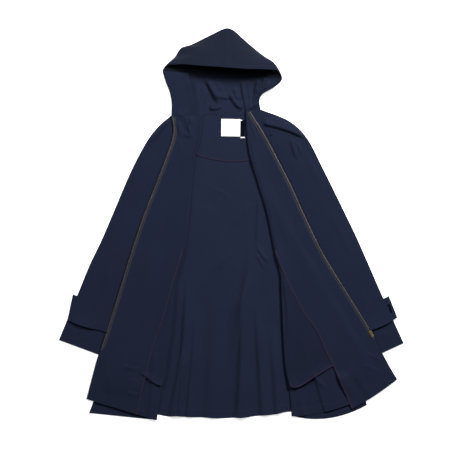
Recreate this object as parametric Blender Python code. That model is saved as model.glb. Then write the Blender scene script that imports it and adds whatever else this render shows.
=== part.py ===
"""Hooded raincoat laid flat on its back, hood toward +Y, both fronts folded open.

Plan sizes are in centimetres and heights in millimetres; every mesh is in metres.
The coat rests on Z = 0. Each piece of cloth is one closed wall. From the surface up
the pieces are the back, its neck facing, the fronts' under plies, the sleeves, the
fronts' folded-over plies, the pocket bags, the front facings and the zip.
"""

import math

import bpy
import numpy as np

CM = 0.01
MM = 0.001

# The middle of the coat's outline, in the plan's centimetres: the part's origin.
ORIGIN = (0.0, 0.2)

# Cloth and seams, in millimetres, and the seams' gap in the plan's centimetres.
WALL = 1.2
BAG_WALL = 2.0
TAPE_WALL = 1.0
PATCH_WALL = 1.0
LAYER_GAP = 0.5
TRIM_GAP_MM = 0.4
SEAM_GAP = 0.5
SEAM = SEAM_GAP * MM / CM

# Levels of the middle of each ply above the surface, in millimetres.
BACK_LEVEL = WALL / 2
YOKE_LEVEL = BACK_LEVEL + WALL + TRIM_GAP_MM
UNDER_LEVEL = 2.4
UNDER_LEVEL_ON_YOKE = 4.0
SLEEVE_EDGE_LEVEL = 4.0
SLEEVE_PUFF_LEVEL = 5.4
SLEEVE_CUFF_LEVEL = 4.6
OVER_LEVEL = 8.4
BAG_LEVEL = OVER_LEVEL + WALL / 2 + LAYER_GAP + BAG_WALL / 2
FACING_RISE = WALL + LAYER_GAP
BAG_SLACK = 0.4
FACING_RISE_ON_BAG = BAG_LEVEL - OVER_LEVEL + BAG_WALL / 2 + LAYER_GAP + WALL / 2 + BAG_SLACK
HOOD_BAND_RISE = FACING_RISE + 0.9
PATCH_LEVEL = YOKE_LEVEL + WALL / 2 + TRIM_GAP_MM + PATCH_WALL / 2

# How far the zip's tape, hardware and chain stand above the ply they are sewn to, and the
# chain's own height, in millimetres.
CHAIN_HEIGHT = 2.0
TAPE_RISE = WALL / 2 + TRIM_GAP_MM + TAPE_WALL / 2
HARDWARE_RISE = TAPE_RISE + TAPE_WALL / 2 + TRIM_GAP_MM
CHAIN_RISE = HARDWARE_RISE + CHAIN_HEIGHT / 2

# Zip, bindings and small trim, in centimetres.
TAPE_WIDTH = 1.2
CHAIN_WIDTH = 0.55
FRONT_EDGE_INSET = 0.4
BINDING_WIDTH = 0.45
YOKE_BINDING_WIDTH = 0.45
TRIM_GAP = 0.08
HOOD_STRIP_HALF = 0.9

# Where each side's edges run, from the neck to the hem: the raglan and side seam, the
# fold over the back, the facing's bound edge, the zip edge, and the sleeve's outer edge,
# each as x, y in centimetres. over_mm is the height of the folded-over ply at the zip.
COLUMNS = ("station", "seam", "fold", "bound", "zip", "arm", "over_mm")
LEFT = (
    ("neck", (-12.9, 31.3), (-8.1, 31.6), (-8.9, 31.5), (-17.0, 31.0), (-17.3, 31.0), 8.4),
    ("collar", (-14.8, 25.3), (-8.8, 25.3), (-9.6, 25.3), (-16.6, 25.9), (-20.6, 28.2), 8.4),
    ("shoulder", (-16.6, 19.9), (-10.2, 19.9), (-11.0, 19.9), (-18.4, 19.9), (-24.2, 23.5), 8.4),
    ("chest", (-19.0, 11.7), (-11.2, 11.4), (-12.0, 11.4), (-21.6, 11.5), (-28.6, 15.1), 8.4),
    ("underarm", (-21.9, 3.1), (-12.0, 3.1), (-12.8, 3.1), (-24.9, 3.1), (-33.0, 4.8), 8.4),
    ("waist", (-25.6, -7.2), (-13.3, -7.2), (-14.2, -7.2), (-28.4, -7.2), (-36.9, -4.3), 8.4),
    ("pocket", (-28.9, -16.6), (-15.8, -16.0), (-16.8, -16.0), (-31.3, -16.6), (-40.3, -11.4), 8.4),
    ("hip", (-32.0, -26.0), (-17.4, -26.0), (-19.6, -26.0), (-34.2, -26.0), (-43.7, -19.7), 8.4),
    ("zip_end", (-34.1, -33.1), (-18.6, -34.2), (-22.5, -34.2), (-36.7, -34.0), (-46.7, -27.0), 8.4),
    ("cuff", (-35.4, -37.9), (-19.4, -39.6), (-23.9, -39.6), (-38.3, -37.9), (-49.1, -32.8), 8.4),
    ("skirt", (-38.0, -46.5), (-20.3, -48.0), (-25.6, -46.5), (-40.3, -45.3), None, 6.5),
    ("hem", (-40.6, -53.6), (-21.2, -55.6), (-27.2, -53.9), (-41.4, -49.6), None, 5.0),
)
RIGHT = (
    ("neck", (7.0, 32.7), (4.0, 32.5), (4.3, 32.5), (5.3, 32.6), (8.5, 32.8), 8.4),
    ("collar", (10.2, 25.3), (4.5, 24.8), (5.3, 24.8), (9.5, 25.9), (16.4, 29.6), 8.4),
    ("shoulder", (13.0, 19.9), (5.2, 19.9), (6.0, 19.9), (12.7, 19.9), (21.6, 24.6), 8.4),
    ("chest", (16.7, 11.7), (7.7, 11.4), (8.5, 11.4), (17.0, 11.5), (26.5, 15.2), 8.4),
    ("underarm", (20.7, 3.1), (10.2, 3.1), (11.0, 3.1), (20.8, 3.1), (31.3, 5.5), 8.4),
    ("waist", (24.7, -7.2), (12.2, -7.2), (13.0, -7.7), (25.8, -7.3), (35.5, -3.2), 8.4),
    ("pocket", (28.1, -16.0), (14.0, -15.0), (16.2, -15.7), (31.0, -16.0), (39.0, -11.1), 8.4),
    ("hip", (31.8, -24.8), (15.0, -25.4), (20.9, -24.8), (36.5, -24.8), (43.1, -20.5), 8.4),
    ("zip_end", (33.8, -30.2), (15.6, -32.2), (25.0, -30.7), (39.6, -30.0), (46.0, -26.9), 8.4),
    ("cuff", (36.3, -39.6), (16.0, -38.5), (27.8, -37.1), (43.1, -36.4), (49.1, -33.7), 8.4),
    ("skirt", (37.2, -45.6), (16.6, -47.1), (31.3, -43.3), (45.5, -40.8), None, 6.0),
    ("hem", (38.7, -51.3), (17.2, -54.6), (34.8, -50.0), (47.4, -43.9), None, 4.0),
)

# Row numbers of those tables: where the facings and their bindings start, where the sleeve
# flattens, the zip's and its tape's ends, the cuff, where the facing reaches the front edge,
# where the hem's bow starts, and the hem.
FACING_START = {"left": 0.1, "right": 0.8}
BINDING_START = 4.8
PUFF_ENDS = (6.0, 7.0)
ZIP_END, TAPE_END, CUFF = 8.0, 8.4, 9.0
FACING_WIDENS, FACING_WIDE = 8.71, 9.2
BOW_START, HEM = 9.2, 11.0

# Where a facing climbs onto its pocket bag and comes off it, as row numbers, and where it
# comes down beside it, as shares of its width.
BAG_TOP, BAG_BOTTOM, BAG_SIDE = (4.6, 5.3), (9.9, 10.4), (0.55, 0.8)

# The rows at which the edges, the zip's chain and the zip's tape are drawn.
EDGE_STEPS = np.linspace(0.1, HEM, 20)
ZIP_STEPS = np.linspace(0.1, ZIP_END, 17)
TAPE_STEPS = (*EDGE_STEPS[EDGE_STEPS < TAPE_END], TAPE_END)

# How many steps of a folded panel lie under its turn, round it, and over it.
UNDER_STEPS, TURN_STEPS, FRONT_STEPS, SLEEVE_STEPS = 4, 5, 7, 6

# Where the back's columns stand across it: close together where its folds show.
BACK_COLUMNS = (0.0, 0.1, 0.19, *np.linspace(0.23, 0.73, 17), 0.82, 0.91, 1.0)

# The y between which the fronts' under plies step up onto the neck facing, and the two
# ends of the neck facing's upper and lower edges.
YOKE_STEP = (13.0, 17.5)
YOKE_UPPER, YOKE_LOWER = (-12.4, 6.4), (-16.0, 11.6)
YOKE_BINDING = (-15.6, 11.4)

# How far each hem bows below the straight line between its ends, in centimetres.
HEM_BOW = {"back": 2.7, "left_under": 0.0, "left_over": 0.0, "right_under": 2.1, "right_over": 2.3}

# Soft folds of the swinging back: where each starts and ends, its height at the end in
# millimetres and its half width there in centimetres.
BACK_FOLDS = (
    {"start": (-14.0, -17.0), "end": (-16.4, -53.6), "height_mm": 5.0, "half_width": 1.5},
    {"start": (-11.0, -26.0), "end": (-12.4, -54.0), "height_mm": 6.0, "half_width": 2.0},
    {"start": (-4.0, -12.0), "end": (-5.8, -55.0), "height_mm": 4.0, "half_width": 2.4},
    {"start": (4.6, -10.0), "end": (1.8, -55.6), "height_mm": 8.0, "half_width": 2.2},
    {"start": (7.0, -22.0), "end": (8.9, -55.4), "height_mm": 6.0, "half_width": 1.8},
)
HOOD_FOLDS = (
    {"start": (-3.6, 35.0), "end": (-6.8, 41.6), "height_mm": 9.0, "half_width": 1.5},
    {"start": (-6.0, 37.0), "end": (-8.3, 32.4), "height_mm": 7.0, "half_width": 1.3},
    {"start": (-0.4, 37.2), "end": (2.0, 33.4), "height_mm": 6.0, "half_width": 1.2},
)

# Hood rows from the neck to the peak. Left and right are x, y in centimetres and the
# height in millimetres of the brim (to row "brim") or of the widest line of the crown.
# spine_x is the middle of the back strip on the surface, top_mm the crown's height.
HOOD = (
    ("neck", (-17.1, 31.06, 9), (8.4, 32.85, 6), 3.6, None),
    ("nape", (-17.0, 34.6, 12), (8.0, 35.2, 11), 3.6, None),
    ("ear", (-17.6, 37.9, 17), (8.9, 37.2, 17), 3.5, None),
    ("cheek", (-18.6, 40.4, 23), (12.0, 39.0, 24), 3.4, None),
    ("temple", (-19.2, 42.4, 28), (13.8, 40.4, 30), 3.2, None),
    ("brim", (-19.4, 44.1, 31), (14.4, 41.9, 34), 3.0, 66),
    ("crown_1", (-17.9, 45.9, 28), (13.0, 44.8, 28), 2.6, 60),
    ("crown_2", (-16.0, 47.7, 22), (10.2, 47.2, 22), 2.2, 49),
    ("crown_3", (-14.3, 50.3, 17), (7.0, 49.8, 17), 1.6, 38),
    ("crown_4", (-11.4, 51.3, 13), (5.0, 51.5, 13), 1.0, 29),
    ("crown_5", (-7.8, 53.1, 9), (2.9, 53.4, 9), 0.2, 19),
    ("crown_6", (-4.4, 54.8, 6.5), (1.4, 54.8, 6.5), -0.7, 12),
    ("peak", (-2.6, 55.7, 4.5), (0.2, 55.7, 4.5), -1.2, 8.4),
)
HOOD_BRIM, HOOD_PEAK = 5, 12
HOOD_STEPS = (*np.linspace(0, HOOD_BRIM, 8), *np.linspace(HOOD_BRIM, HOOD_PEAK, 12)[1:])
HOOD_LOW_STEPS, HOOD_TOP_STEPS = 8, 5
HOOD_BAND_STEPS = (0.1, *HOOD_STEPS[1:7], 4.8)
HOOD_BAND_INNER, HOOD_BAND_OUTER = {"left": 0.68, "right": 0.5}, 0.975
CROWN_STRIP_X = -1.2

# The y at which the middle strip turns over at the peak.
PEAK_Y = 56.0

# The brim's edge in plan, how far the crown's middle is pulled up towards the peak at the
# brim, and the rows over which the crown settles from the brim's edge to its own rows.
BRIM = ((-19.4, 44.1), (-19.0, 44.7), (-17.8, 45.35), (-13.9, 45.6), (-8.7, 45.1), (-1.85, 44.6),
        (5.0, 44.1), (9.5, 44.15), (12.65, 44.0), (13.6, 43.3), (14.4, 41.9))
CROWN_PULL, CROWN_PULL_ROWS = 1.5, 2.0
BRIM_ROWS = 1.6

# Pocket bags: the loose edge and the edge under the facing, from top to bottom, in cm.
LEFT_BAG = (
    ("top", (-16.1, -17.4), (-20.6, -15.8)),
    ("upper", (-16.8, -27.7), (-24.3, -24.8)),
    ("middle", (-17.9, -35.7), (-26.6, -32.8)),
    ("lower", (-18.8, -42.3), (-28.3, -37.9)),
    ("bottom", (-19.8, -45.6), (-28.9, -40.2)),
)
RIGHT_BAG = (
    ("top", (14.2, -13.6), (19.8, -12.3)),
    ("upper", (14.4, -21.4), (24.4, -19.1)),
    ("middle", (14.8, -30.0), (28.4, -27.7)),
    ("lower", (15.4, -39.9), (31.8, -34.8)),
    ("bottom", (16.6, -45.6), (33.5, -37.6)),
)

# Where the bags' columns stand across them, how far each bag's bottom edge hangs below the
# line between its corners, in cm, and where across it that is deepest.
BAG_COLUMNS = (0.0, 0.09, 0.18, 0.4, 0.7, 1.0)
BAG_BOW = {"left": 0.6, "right": 1.7}
BAG_BOW_AT = 0.18

# Cuff straps, each a wide band across the sleeve: its corners in plan, in cm, outer upper,
# outer lower, inner upper and inner lower, and how far its lower edge stands up, in mm.
STRAPS = {
    "left": ((-45.1, -19.8), (-46.7, -27.1), (-33.0, -23.6), (-35.2, -30.7)),
    "right": ((44.8, -20.3), (47.3, -26.4), (34.4, -25.1), (37.3, -31.1)),
}
STRAP_LEVEL = 6.3
STRAP_LIFT, STRAP_LIFT_END = 3.5, 0.72
STRAP_ACROSS = (0.0, 0.035, 0.12, 0.25, 0.42, 0.6, 0.8, 1.0)
STRAP_ALONG = (0.0, 0.28, 0.72, 1.0)
STRAP_SLOT = {"left": (), "right": ((1, 1),)}

# Zip hardware, as sizes along the chain, across it and in height, in millimetres, and how
# far past the zip's last row each starts. A block's outline is in halves of its size.
SLIDER, SLIDER_START = (11.0, 9.0, 5.0), 1.6
ZIP_BOX, ZIP_BOX_START = (7.0, 7.0, 4.0), 13.1
ZIP_PIN, ZIP_PIN_START = (9.0, 5.0, 3.0), 1.0
BLOCK_OUTLINE = ((-1, -0.55), (-0.6, -1), (0.6, -1), (1, -0.55),
                 (1, 0.55), (0.6, 1), (-0.6, 1), (-1, 0.55))
BLOCK_BEVEL, BLOCK_TOP = 1.0, 0.8

# The press stud, with its outline as shares of its height and radius.
SNAP = {"centre": (5.9, 23.7), "radius_mm": 2.6, "height_mm": 1.4}
SNAP_OUTLINE = ((0.0, 1.0), (0.6, 1.0), (1.0, 0.6))
SNAP_SIDES = 12

LABEL = {"centre": (-0.15, 27.7), "size": (5.4, 4.9), "turn_deg": -1.0}
SIZE_TAB = {"centre": (3.3, 27.5), "size": (1.0, 4.6), "turn_deg": -1.0}

NAVY = (0.020, 0.026, 0.052, 1.0)
NAVY_INSIDE = (0.026, 0.033, 0.062, 1.0)
MAROON = (0.09, 0.02, 0.035, 1.0)
BRASS = (0.55, 0.40, 0.18, 1.0)
WHITE = (0.82, 0.82, 0.80, 1.0)


def clear_scene():
    """Start from an empty file."""
    for old in list(bpy.data.objects):
        bpy.data.objects.remove(old, do_unlink=True)


def material(name, colour, roughness=0.85, metallic=0.0):
    """A plain Principled material for one piece."""
    made = bpy.data.materials.new(name)
    made.use_nodes = True
    shader = made.node_tree.nodes["Principled BSDF"]
    shader.inputs["Base Color"].default_value = colour
    shader.inputs["Roughness"].default_value = roughness
    shader.inputs["Metallic"].default_value = metallic
    return made


def add_object(name, points, faces, colour, roughness=0.85, metallic=0.0):
    """Link one named mesh object with its own material."""
    mesh = bpy.data.meshes.new(name)
    mesh.from_pydata([tuple(p) for p in points], [], faces)
    mesh.validate()
    made = bpy.data.objects.new(name, mesh)
    made.data.materials.append(material(name, colour, roughness, metallic))
    bpy.context.collection.objects.link(made)
    return made


def ease(value, start, end):
    """0 before start, 1 after end, and a smooth step between them."""
    t = np.clip((value - start) / (end - start), 0.0, 1.0)
    return t * t * (3 - 2 * t)


def smooth_rows(rows, t):
    """Read a table column at row number t along a smooth curve through its rows."""
    values = np.array(rows, dtype=float)
    last = len(values) - 1
    t = min(max(t, 0.0), float(last))
    i = min(int(t), last - 1)
    f = t - i
    before = values[max(i - 1, 0)]
    here, there = values[i], values[i + 1]
    after = values[min(i + 2, last)]
    out = (there - before) / 2
    into = (after - here) / 2
    a = 2 * f**3 - 3 * f**2 + 1
    b = f**3 - 2 * f**2 + f
    c = 3 * f**2 - 2 * f**3
    d = f**3 - f**2
    return a * here + b * out + c * there + d * into


def edge(side, column, t):
    """The x, y of one side's named edge at row number t."""
    k = COLUMNS.index(column)
    return smooth_rows([row[k] for row in side if row[k] is not None], t)


def folds_height(x, y, folds):
    """Height in millimetres that the named folds add at x, y in centimetres."""
    total = 0.0
    for fold in folds:
        a, b = np.array(fold["start"]), np.array(fold["end"])
        run = b - a
        along = np.clip(np.dot((x, y) - a, run) / np.dot(run, run), 0.0, 1.0)
        away = math.dist((x, y), a + run * along)
        grown = ease(along, 0.0, 0.85)
        if away < fold["half_width"] and grown > 0:
            bell = 0.5 + 0.5 * math.cos(math.pi * away / fold["half_width"])
            total += fold["height_mm"] * grown * bell
    return total


def under_level(y):
    """Level of a front's under ply, which steps up over the neck facing."""
    return UNDER_LEVEL + (UNDER_LEVEL_ON_YOKE - UNDER_LEVEL) * ease(y, *YOKE_STEP)


def placed(points):
    """Plan centimetres and millimetres of height as metres from the part's origin."""
    return (np.array(points, dtype=float) - (*ORIGIN, 0.0)) * (CM, CM, MM)


def vertex_normals(points, faces):
    """Unit normals of a sheet, averaged over the faces round each point."""
    normals = np.zeros_like(points)
    for face in faces:
        corners = points[list(face)]
        nxt = np.roll(corners, -1, axis=0)
        normal = np.cross(corners, nxt).sum(axis=0)
        for k in face:
            normals[k] += normal
    return normals / np.linalg.norm(normals, axis=1)[:, None]


def cloth(name, points, faces, colour, wall_mm=WALL, roughness=0.85, metallic=0.0):
    """One closed wall: the sheet moved out both ways, with a rim round its edges.

    points are x and y in centimetres and z in millimetres.
    """
    middle = placed(points)
    out = vertex_normals(middle, faces) * wall_mm * MM / 2
    count = len(middle)
    solid = [tuple(face) for face in faces]
    solid += [tuple(k + count for k in reversed(face)) for face in faces]
    edges = {(face[i], face[(i + 1) % len(face)]) for face in faces for i in range(len(face))}
    for a, b in sorted(edges):
        if (b, a) not in edges:
            solid.append((b, a, a + count, b + count))
    return add_object(name, np.vstack((middle + out, middle - out)), solid, colour, roughness, metallic)


def grid_faces(rows, columns, skip=()):
    """Quads over a grid of points stored row by row, leaving out the skipped cells."""
    faces = []
    for i in range(rows - 1):
        for j in range(columns - 1):
            if (i, j) not in skip:
                k = i * columns + j
                faces.append((k, k + 1, k + 1 + columns, k + columns))
    return faces


def grid(name, rows, colour, flip=False, skip=(), **finish):
    """A cloth wall over rows of points, each row the same length."""
    rows = [list(reversed(row)) for row in rows] if flip else rows
    points = [p for row in rows for p in row]
    return cloth(name, points, grid_faces(len(rows), len(rows[0]), skip), colour, **finish)


def hem_bow(name, u, t, power=1):
    """How far a point at u across a panel hangs below the straight row at row number t."""
    return HEM_BOW[name] * (4 * u * (1 - u)) ** power * ease(t, BOW_START, HEM)


def build_back():
    """The back panel, seam to seam, with the folds of its swing."""
    rows = []
    for t in np.linspace(0, HEM, 15):
        a, b = edge(LEFT, "seam", t), edge(RIGHT, "seam", t)
        row = []
        for u in BACK_COLUMNS:
            x, y = a + (b - a) * u
            x += SEAM / 2 * (1 - 2 * u)
            y -= hem_bow("back", u, t, 3)
            row.append((x, y, BACK_LEVEL + folds_height(x, y, BACK_FOLDS)))
        rows.append(row)
    grid("back", rows, NAVY_INSIDE, flip=True)


def yoke_low(x):
    """The curved lower edge of the back's neck facing."""
    return 18.5 + 0.018 * (x - 0.5) ** 2


def neck_line(x):
    """The neck seam, which slopes a little across the coat."""
    return 32.2 + 0.07 * x


def yoke_rows(high, low, count):
    """Rows across the neck facing between two curves of x."""
    rows = []
    for v in np.linspace(0, 1, count):
        row = []
        for u in np.linspace(0, 1, 11):
            left, right = (YOKE_UPPER[k] + (YOKE_LOWER[k] - YOKE_UPPER[k]) * v for k in (0, 1))
            x = left * (1 - u) + right * u
            row.append((x, high(x) * (1 - v) + low(x) * v, YOKE_LEVEL))
        rows.append(row)
    return rows


def build_yoke():
    """The back's neck facing and the binding of its lower edge."""
    rows = yoke_rows(lambda x: neck_line(x) - SEAM, yoke_low, 4)
    grid("back_neck_facing", rows, NAVY_INSIDE, flip=True)
    rows = []
    for drop in (SEAM, SEAM + YOKE_BINDING_WIDTH):
        rows.append([(x, yoke_low(x) - drop, YOKE_LEVEL) for x in np.linspace(*YOKE_BINDING, 11)])
    grid("binding_neck_facing", rows, MAROON, flip=True)


def over_level(side, t, c):
    """Height of the folded-over ply at row number t, c of the way from fold to zip."""
    at_zip = smooth_rows([row[6] for row in side], t)
    return OVER_LEVEL + (at_zip - OVER_LEVEL) * c


def over_point(side, prefix, t, x, y, rise):
    """A point rise millimetres above the folded-over ply at x, y near row number t."""
    fold, free = edge(side, "fold", t), edge(side, "zip", t)
    c = np.clip((x - fold[0]) / (free[0] - fold[0]), 0.0, 1.0)
    return (x, y - hem_bow(prefix + "_over", c, t), over_level(side, t, c) + rise)


def hairpin(start, turn, end, z_start, z_end, over_n, bows=(0.0, 0.0)):
    """One row of cloth that runs in from start, turns over at the fold and comes back.

    The turn is a half round whose outermost point is the fold; bows hang each ply.
    """
    start, turn, end = np.array(start), np.array(turn), np.array(end)
    radius = (z_end - z_start) / 2 * MM / CM
    into = (turn - start) / np.linalg.norm(turn - start)
    centre = turn - into * radius
    row = []
    for u in np.linspace(0, 1, UNDER_STEPS, endpoint=False):
        p = start + (centre - start) * u
        row.append((p[0], p[1] - bows[0] * 4 * u * (1 - u), z_start))
    for angle in np.linspace(-math.pi / 2, math.pi / 2, TURN_STEPS):
        p = centre + into * radius * math.cos(angle)
        row.append((p[0], p[1], (z_start + z_end) / 2 + (z_end - z_start) / 2 * math.sin(angle)))
    for u in np.linspace(0, 1, over_n + 1)[1:]:
        p = centre + (end - centre) * u
        row.append((p[0], p[1] - bows[1] * 4 * u * (1 - u), z_end))
    return row


def build_front(prefix, side, sign):
    """A front panel: from its seam in to the fold, then back over to the zip edge."""
    rows = []
    for t in np.linspace(0, HEM, 17):
        seam, fold, free = edge(side, "seam", t), edge(side, "fold", t), edge(side, "zip", t)
        seam = seam + (-sign * SEAM, 0)
        inward = (fold - free) / np.linalg.norm(fold - free)
        free = free + inward * FRONT_EDGE_INSET
        under = under_level(seam[1])
        hang = ease(t, BOW_START, HEM)
        bows = (HEM_BOW[prefix + "_under"] * hang, HEM_BOW[prefix + "_over"] * hang)
        row = hairpin(seam, fold, free, under, OVER_LEVEL, FRONT_STEPS, bows)
        turn_end = UNDER_STEPS + TURN_STEPS
        for k in range(turn_end, len(row)):
            c = (k - turn_end + 1) / FRONT_STEPS
            row[k] = (*row[k][:2], over_level(side, t, c))
        rows.append(row)
    grid("front_" + prefix, rows, NAVY_INSIDE, flip=sign > 0)


def build_sleeve(prefix, side, sign):
    """A raglan sleeve, open at the cuff: back ply, fold at the outer edge, front ply."""
    rows = []
    for t in np.linspace(0, CUFF, 13):
        seam, arm = edge(side, "seam", t), edge(side, "arm", t)
        out = (arm - seam) / max(np.linalg.norm(arm - seam), 1e-6)
        inner = seam + out * SEAM
        top = SLEEVE_EDGE_LEVEL
        row = hairpin(inner, arm, inner, BACK_LEVEL, top, SLEEVE_STEPS)
        puff = SLEEVE_PUFF_LEVEL + (SLEEVE_CUFF_LEVEL - SLEEVE_PUFF_LEVEL) * ease(t, *PUFF_ENDS)
        puff = (puff - top) * ease(t, 0.0, 1.0)
        turn_end = UNDER_STEPS + TURN_STEPS
        for k in range(turn_end, len(row)):
            x, y = row[k][:2]
            c = (k - turn_end + 1) / SLEEVE_STEPS
            z = top * (1 - c) + under_level(y) * c + puff * math.sin(math.pi * c)
            row[k] = (x, y, z)
        rows.append(row)
    grid("sleeve_" + prefix, rows, NAVY, flip=sign < 0)


def facing_rise(t, c):
    """How far the front facing stands over the folded-over ply, higher on the pocket bag."""
    on_bag = ease(t, *BAG_TOP) * (1 - ease(c, *BAG_SIDE)) * (1 - ease(t, *BAG_BOTTOM))
    return FACING_RISE + (FACING_RISE_ON_BAG - FACING_RISE) * on_bag


def across_facing(side, t):
    """A facing's bound edge, the zip edge and the way from one to the other at row number t."""
    bound, free = edge(side, "bound", t), edge(side, "zip", t)
    return bound, free, (free - bound) / np.linalg.norm(free - bound)


def build_facing(prefix, side, sign):
    """A front facing, from its bound edge to the zip tape, and to the front edge below it."""
    rows = []
    for t in EDGE_STEPS[EDGE_STEPS >= FACING_START[prefix]]:
        bound, free, across = across_facing(side, t)
        beside = TRIM_GAP + TAPE_WIDTH * (1 - ease(t, FACING_WIDENS, FACING_WIDE))
        stop = free - across * beside
        row = []
        for c in (0.0, 0.3, 0.55, 0.8, 1.0):
            x, y = bound + (stop - bound) * c
            row.append(over_point(side, prefix, t, x, y, facing_rise(t, c)))
        rows.append(row)
    grid("facing_" + prefix, rows, NAVY_INSIDE, flip=sign < 0)


def build_binding(prefix, side, sign):
    """The binding beside a front facing's loose edge."""
    rows = []
    for t in EDGE_STEPS[EDGE_STEPS > BINDING_START]:
        bound, _, across = across_facing(side, t)
        row = []
        for out in (TRIM_GAP, TRIM_GAP + BINDING_WIDTH):
            x, y = bound - across * out
            row.append(over_point(side, prefix, t, x, y, facing_rise(t, 0.0)))
        rows.append(row)
    grid("binding_" + prefix, rows, MAROON, flip=sign > 0)


def zip_rows(prefix, side, steps, insets, rise):
    """Rows of points in from the zip edge, rise millimetres above the folded-over ply."""
    rows = []
    for t in steps:
        _, free, across = across_facing(side, t)
        row = []
        for inset in insets:
            x, y = free - across * inset
            row.append(over_point(side, prefix, t, x, y, rise))
        rows.append(row)
    return rows


def build_zip(prefix, side, sign):
    """One side of the zip: its tape along the front edge and the chain of teeth on it."""
    tape = zip_rows(prefix, side, TAPE_STEPS, (TAPE_WIDTH, TAPE_WIDTH / 2, 0.0), TAPE_RISE)
    grid("zip_tape_" + prefix, tape, NAVY, flip=sign < 0, wall_mm=TAPE_WALL)
    chain = zip_rows(prefix, side, ZIP_STEPS, (CHAIN_WIDTH, 0.0), CHAIN_RISE)
    metal = {"roughness": 0.35, "metallic": 1.0}
    grid("zip_chain_" + prefix, chain, BRASS, flip=sign < 0, wall_mm=CHAIN_HEIGHT, **metal)


def build_bag(prefix, table, sign):
    """A loose two-ply pocket bag lying on the folded-over ply, partly under the facing."""
    rows = []
    for t in np.linspace(0, 4, 9):
        loose = smooth_rows([row[1] for row in table], t)
        hidden = smooth_rows([row[2] for row in table], t)
        row = []
        for u in BAG_COLUMNS:
            x, y = loose + (hidden - loose) * u
            bow = BAG_BOW[prefix] * u / BAG_BOW_AT * math.exp(1 - u / BAG_BOW_AT)
            row.append((x, y - bow * ease(t, 2.6, 4.0), BAG_LEVEL))
        rows.append(row)
    grid("pocket_bag_" + prefix, rows, NAVY_INSIDE, flip=sign < 0, wall_mm=BAG_WALL)


def hood_row(side_column, t):
    """Side x, y, height, spine x and crown height of the hood at row number t."""
    side = smooth_rows([row[side_column] for row in HOOD], t)
    spine = smooth_rows([row[3] for row in HOOD], t)
    return side, spine


def hood_line_y(t, x):
    """Where the hood's row number t lies at x, on the line between its two sides."""
    left, right = hood_row(1, t)[0], hood_row(2, t)[0]
    return left[1] + (right[1] - left[1]) * (x - left[0]) / (right[0] - left[0])


def hood_low(column, sign, t, c):
    """A point of the hood's lower sheet, c of the way from the spine to the side."""
    side, spine = hood_row(column, t)
    start = spine + sign * (HOOD_STRIP_HALF + SEAM)
    x = start + (side[0] - start) * c
    y = hood_line_y(t, x)
    lift = np.clip((c - 0.3) / 0.7, 0.0, 1.0) ** 1.5
    folds = folds_height(x, y, HOOD_FOLDS) * (1 - ease(t, 4.0, 5.0)) * ease(c, 0.0, 0.1)
    return (x, y, BACK_LEVEL + (side[2] - BACK_LEVEL) * lift + folds)


def crown_top(t):
    """Height of the crown's middle at row number t."""
    return smooth_rows([row[4] for row in HOOD[HOOD_BRIM:]], t - HOOD_BRIM)


def hood_middle_y(t):
    """Where row number t of the crown crosses the top strip."""
    left, right = hood_row(1, t)[0], hood_row(2, t)[0]
    pull = CROWN_PULL * (1 - ease(t, HOOD_BRIM, HOOD_BRIM + CROWN_PULL_ROWS))
    return (left[1] + right[1]) / 2 + pull


def from_brim(t, y, x_at_brim, y_at_brim):
    """A crown point's y once its row has been moved onto the brim's edge at the brim."""
    edge_y = np.interp(x_at_brim, [p[0] for p in BRIM], [p[1] for p in BRIM])
    return y + (edge_y - y_at_brim) * (1 - ease(t, HOOD_BRIM, HOOD_BRIM + BRIM_ROWS))


def hood_top(column, sign, t, c):
    """A point of the crown's upper sheet, c of the way from the side to the top strip."""
    stop = CROWN_STRIP_X + sign * (HOOD_STRIP_HALF + SEAM)

    def plan(row):
        side, _ = hood_row(column, row)
        pull = (hood_middle_y(row) - side[1]) * ease(c, 0.0, 1.0)
        return side[0] + (stop - side[0]) * c, side[1] + pull

    x, y = plan(t)
    side_height = hood_row(column, t)[0][2]
    z = side_height + (crown_top(t) - side_height) * math.sin(math.pi / 2 * c) ** 0.8
    return (x, from_brim(t, y, *plan(HOOD_BRIM)), z)


def build_hood_side(prefix, column, sign):
    """A hood side: its sheet on the surface, its brim, and half of the crown above."""
    points, faces = [], []
    for t in HOOD_STEPS:
        points += [hood_low(column, sign, t, c) for c in np.linspace(0, 1, HOOD_LOW_STEPS)]
    faces += grid_faces(len(HOOD_STEPS), HOOD_LOW_STEPS)
    previous = None
    for i, t in enumerate(HOOD_STEPS):
        if t < HOOD_BRIM:
            continue
        start = len(points)
        points += [hood_top(column, sign, t, c) for c in np.linspace(0, 1, HOOD_TOP_STEPS + 1)[1:]]
        current = [(i + 1) * HOOD_LOW_STEPS - 1, *range(start, start + HOOD_TOP_STEPS)]
        if previous:
            for j in range(HOOD_TOP_STEPS):
                faces.append((previous[j], previous[j + 1], current[j + 1], current[j]))
        previous = current
    if sign > 0:
        faces = [tuple(reversed(face)) for face in faces]
    cloth("hood_" + prefix, points, faces, NAVY)


def build_hood_strip():
    """The narrow middle strip: up the back of the hood and over the crown to the brim."""
    across = (-HOOD_STRIP_HALF, 0.0, HOOD_STRIP_HALF)
    rows = []
    for t in HOOD_STEPS:
        spine = hood_row(1, t)[1]
        rows.append([(spine + dx, hood_line_y(t, spine + dx), BACK_LEVEL) for dx in across])
    turn = (crown_top(HOOD_PEAK) + BACK_LEVEL) / 2
    rows.append([(CROWN_STRIP_X + dx, PEAK_Y, turn) for dx in across])
    for t in reversed([t for t in HOOD_STEPS if t >= HOOD_BRIM]):
        row = []
        for dx in across:
            x = CROWN_STRIP_X + dx
            y = from_brim(t, hood_middle_y(t), x, hood_middle_y(HOOD_BRIM))
            row.append((x, y, crown_top(t)))
        rows.append(row)
    grid("hood_centre", rows, NAVY)


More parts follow.
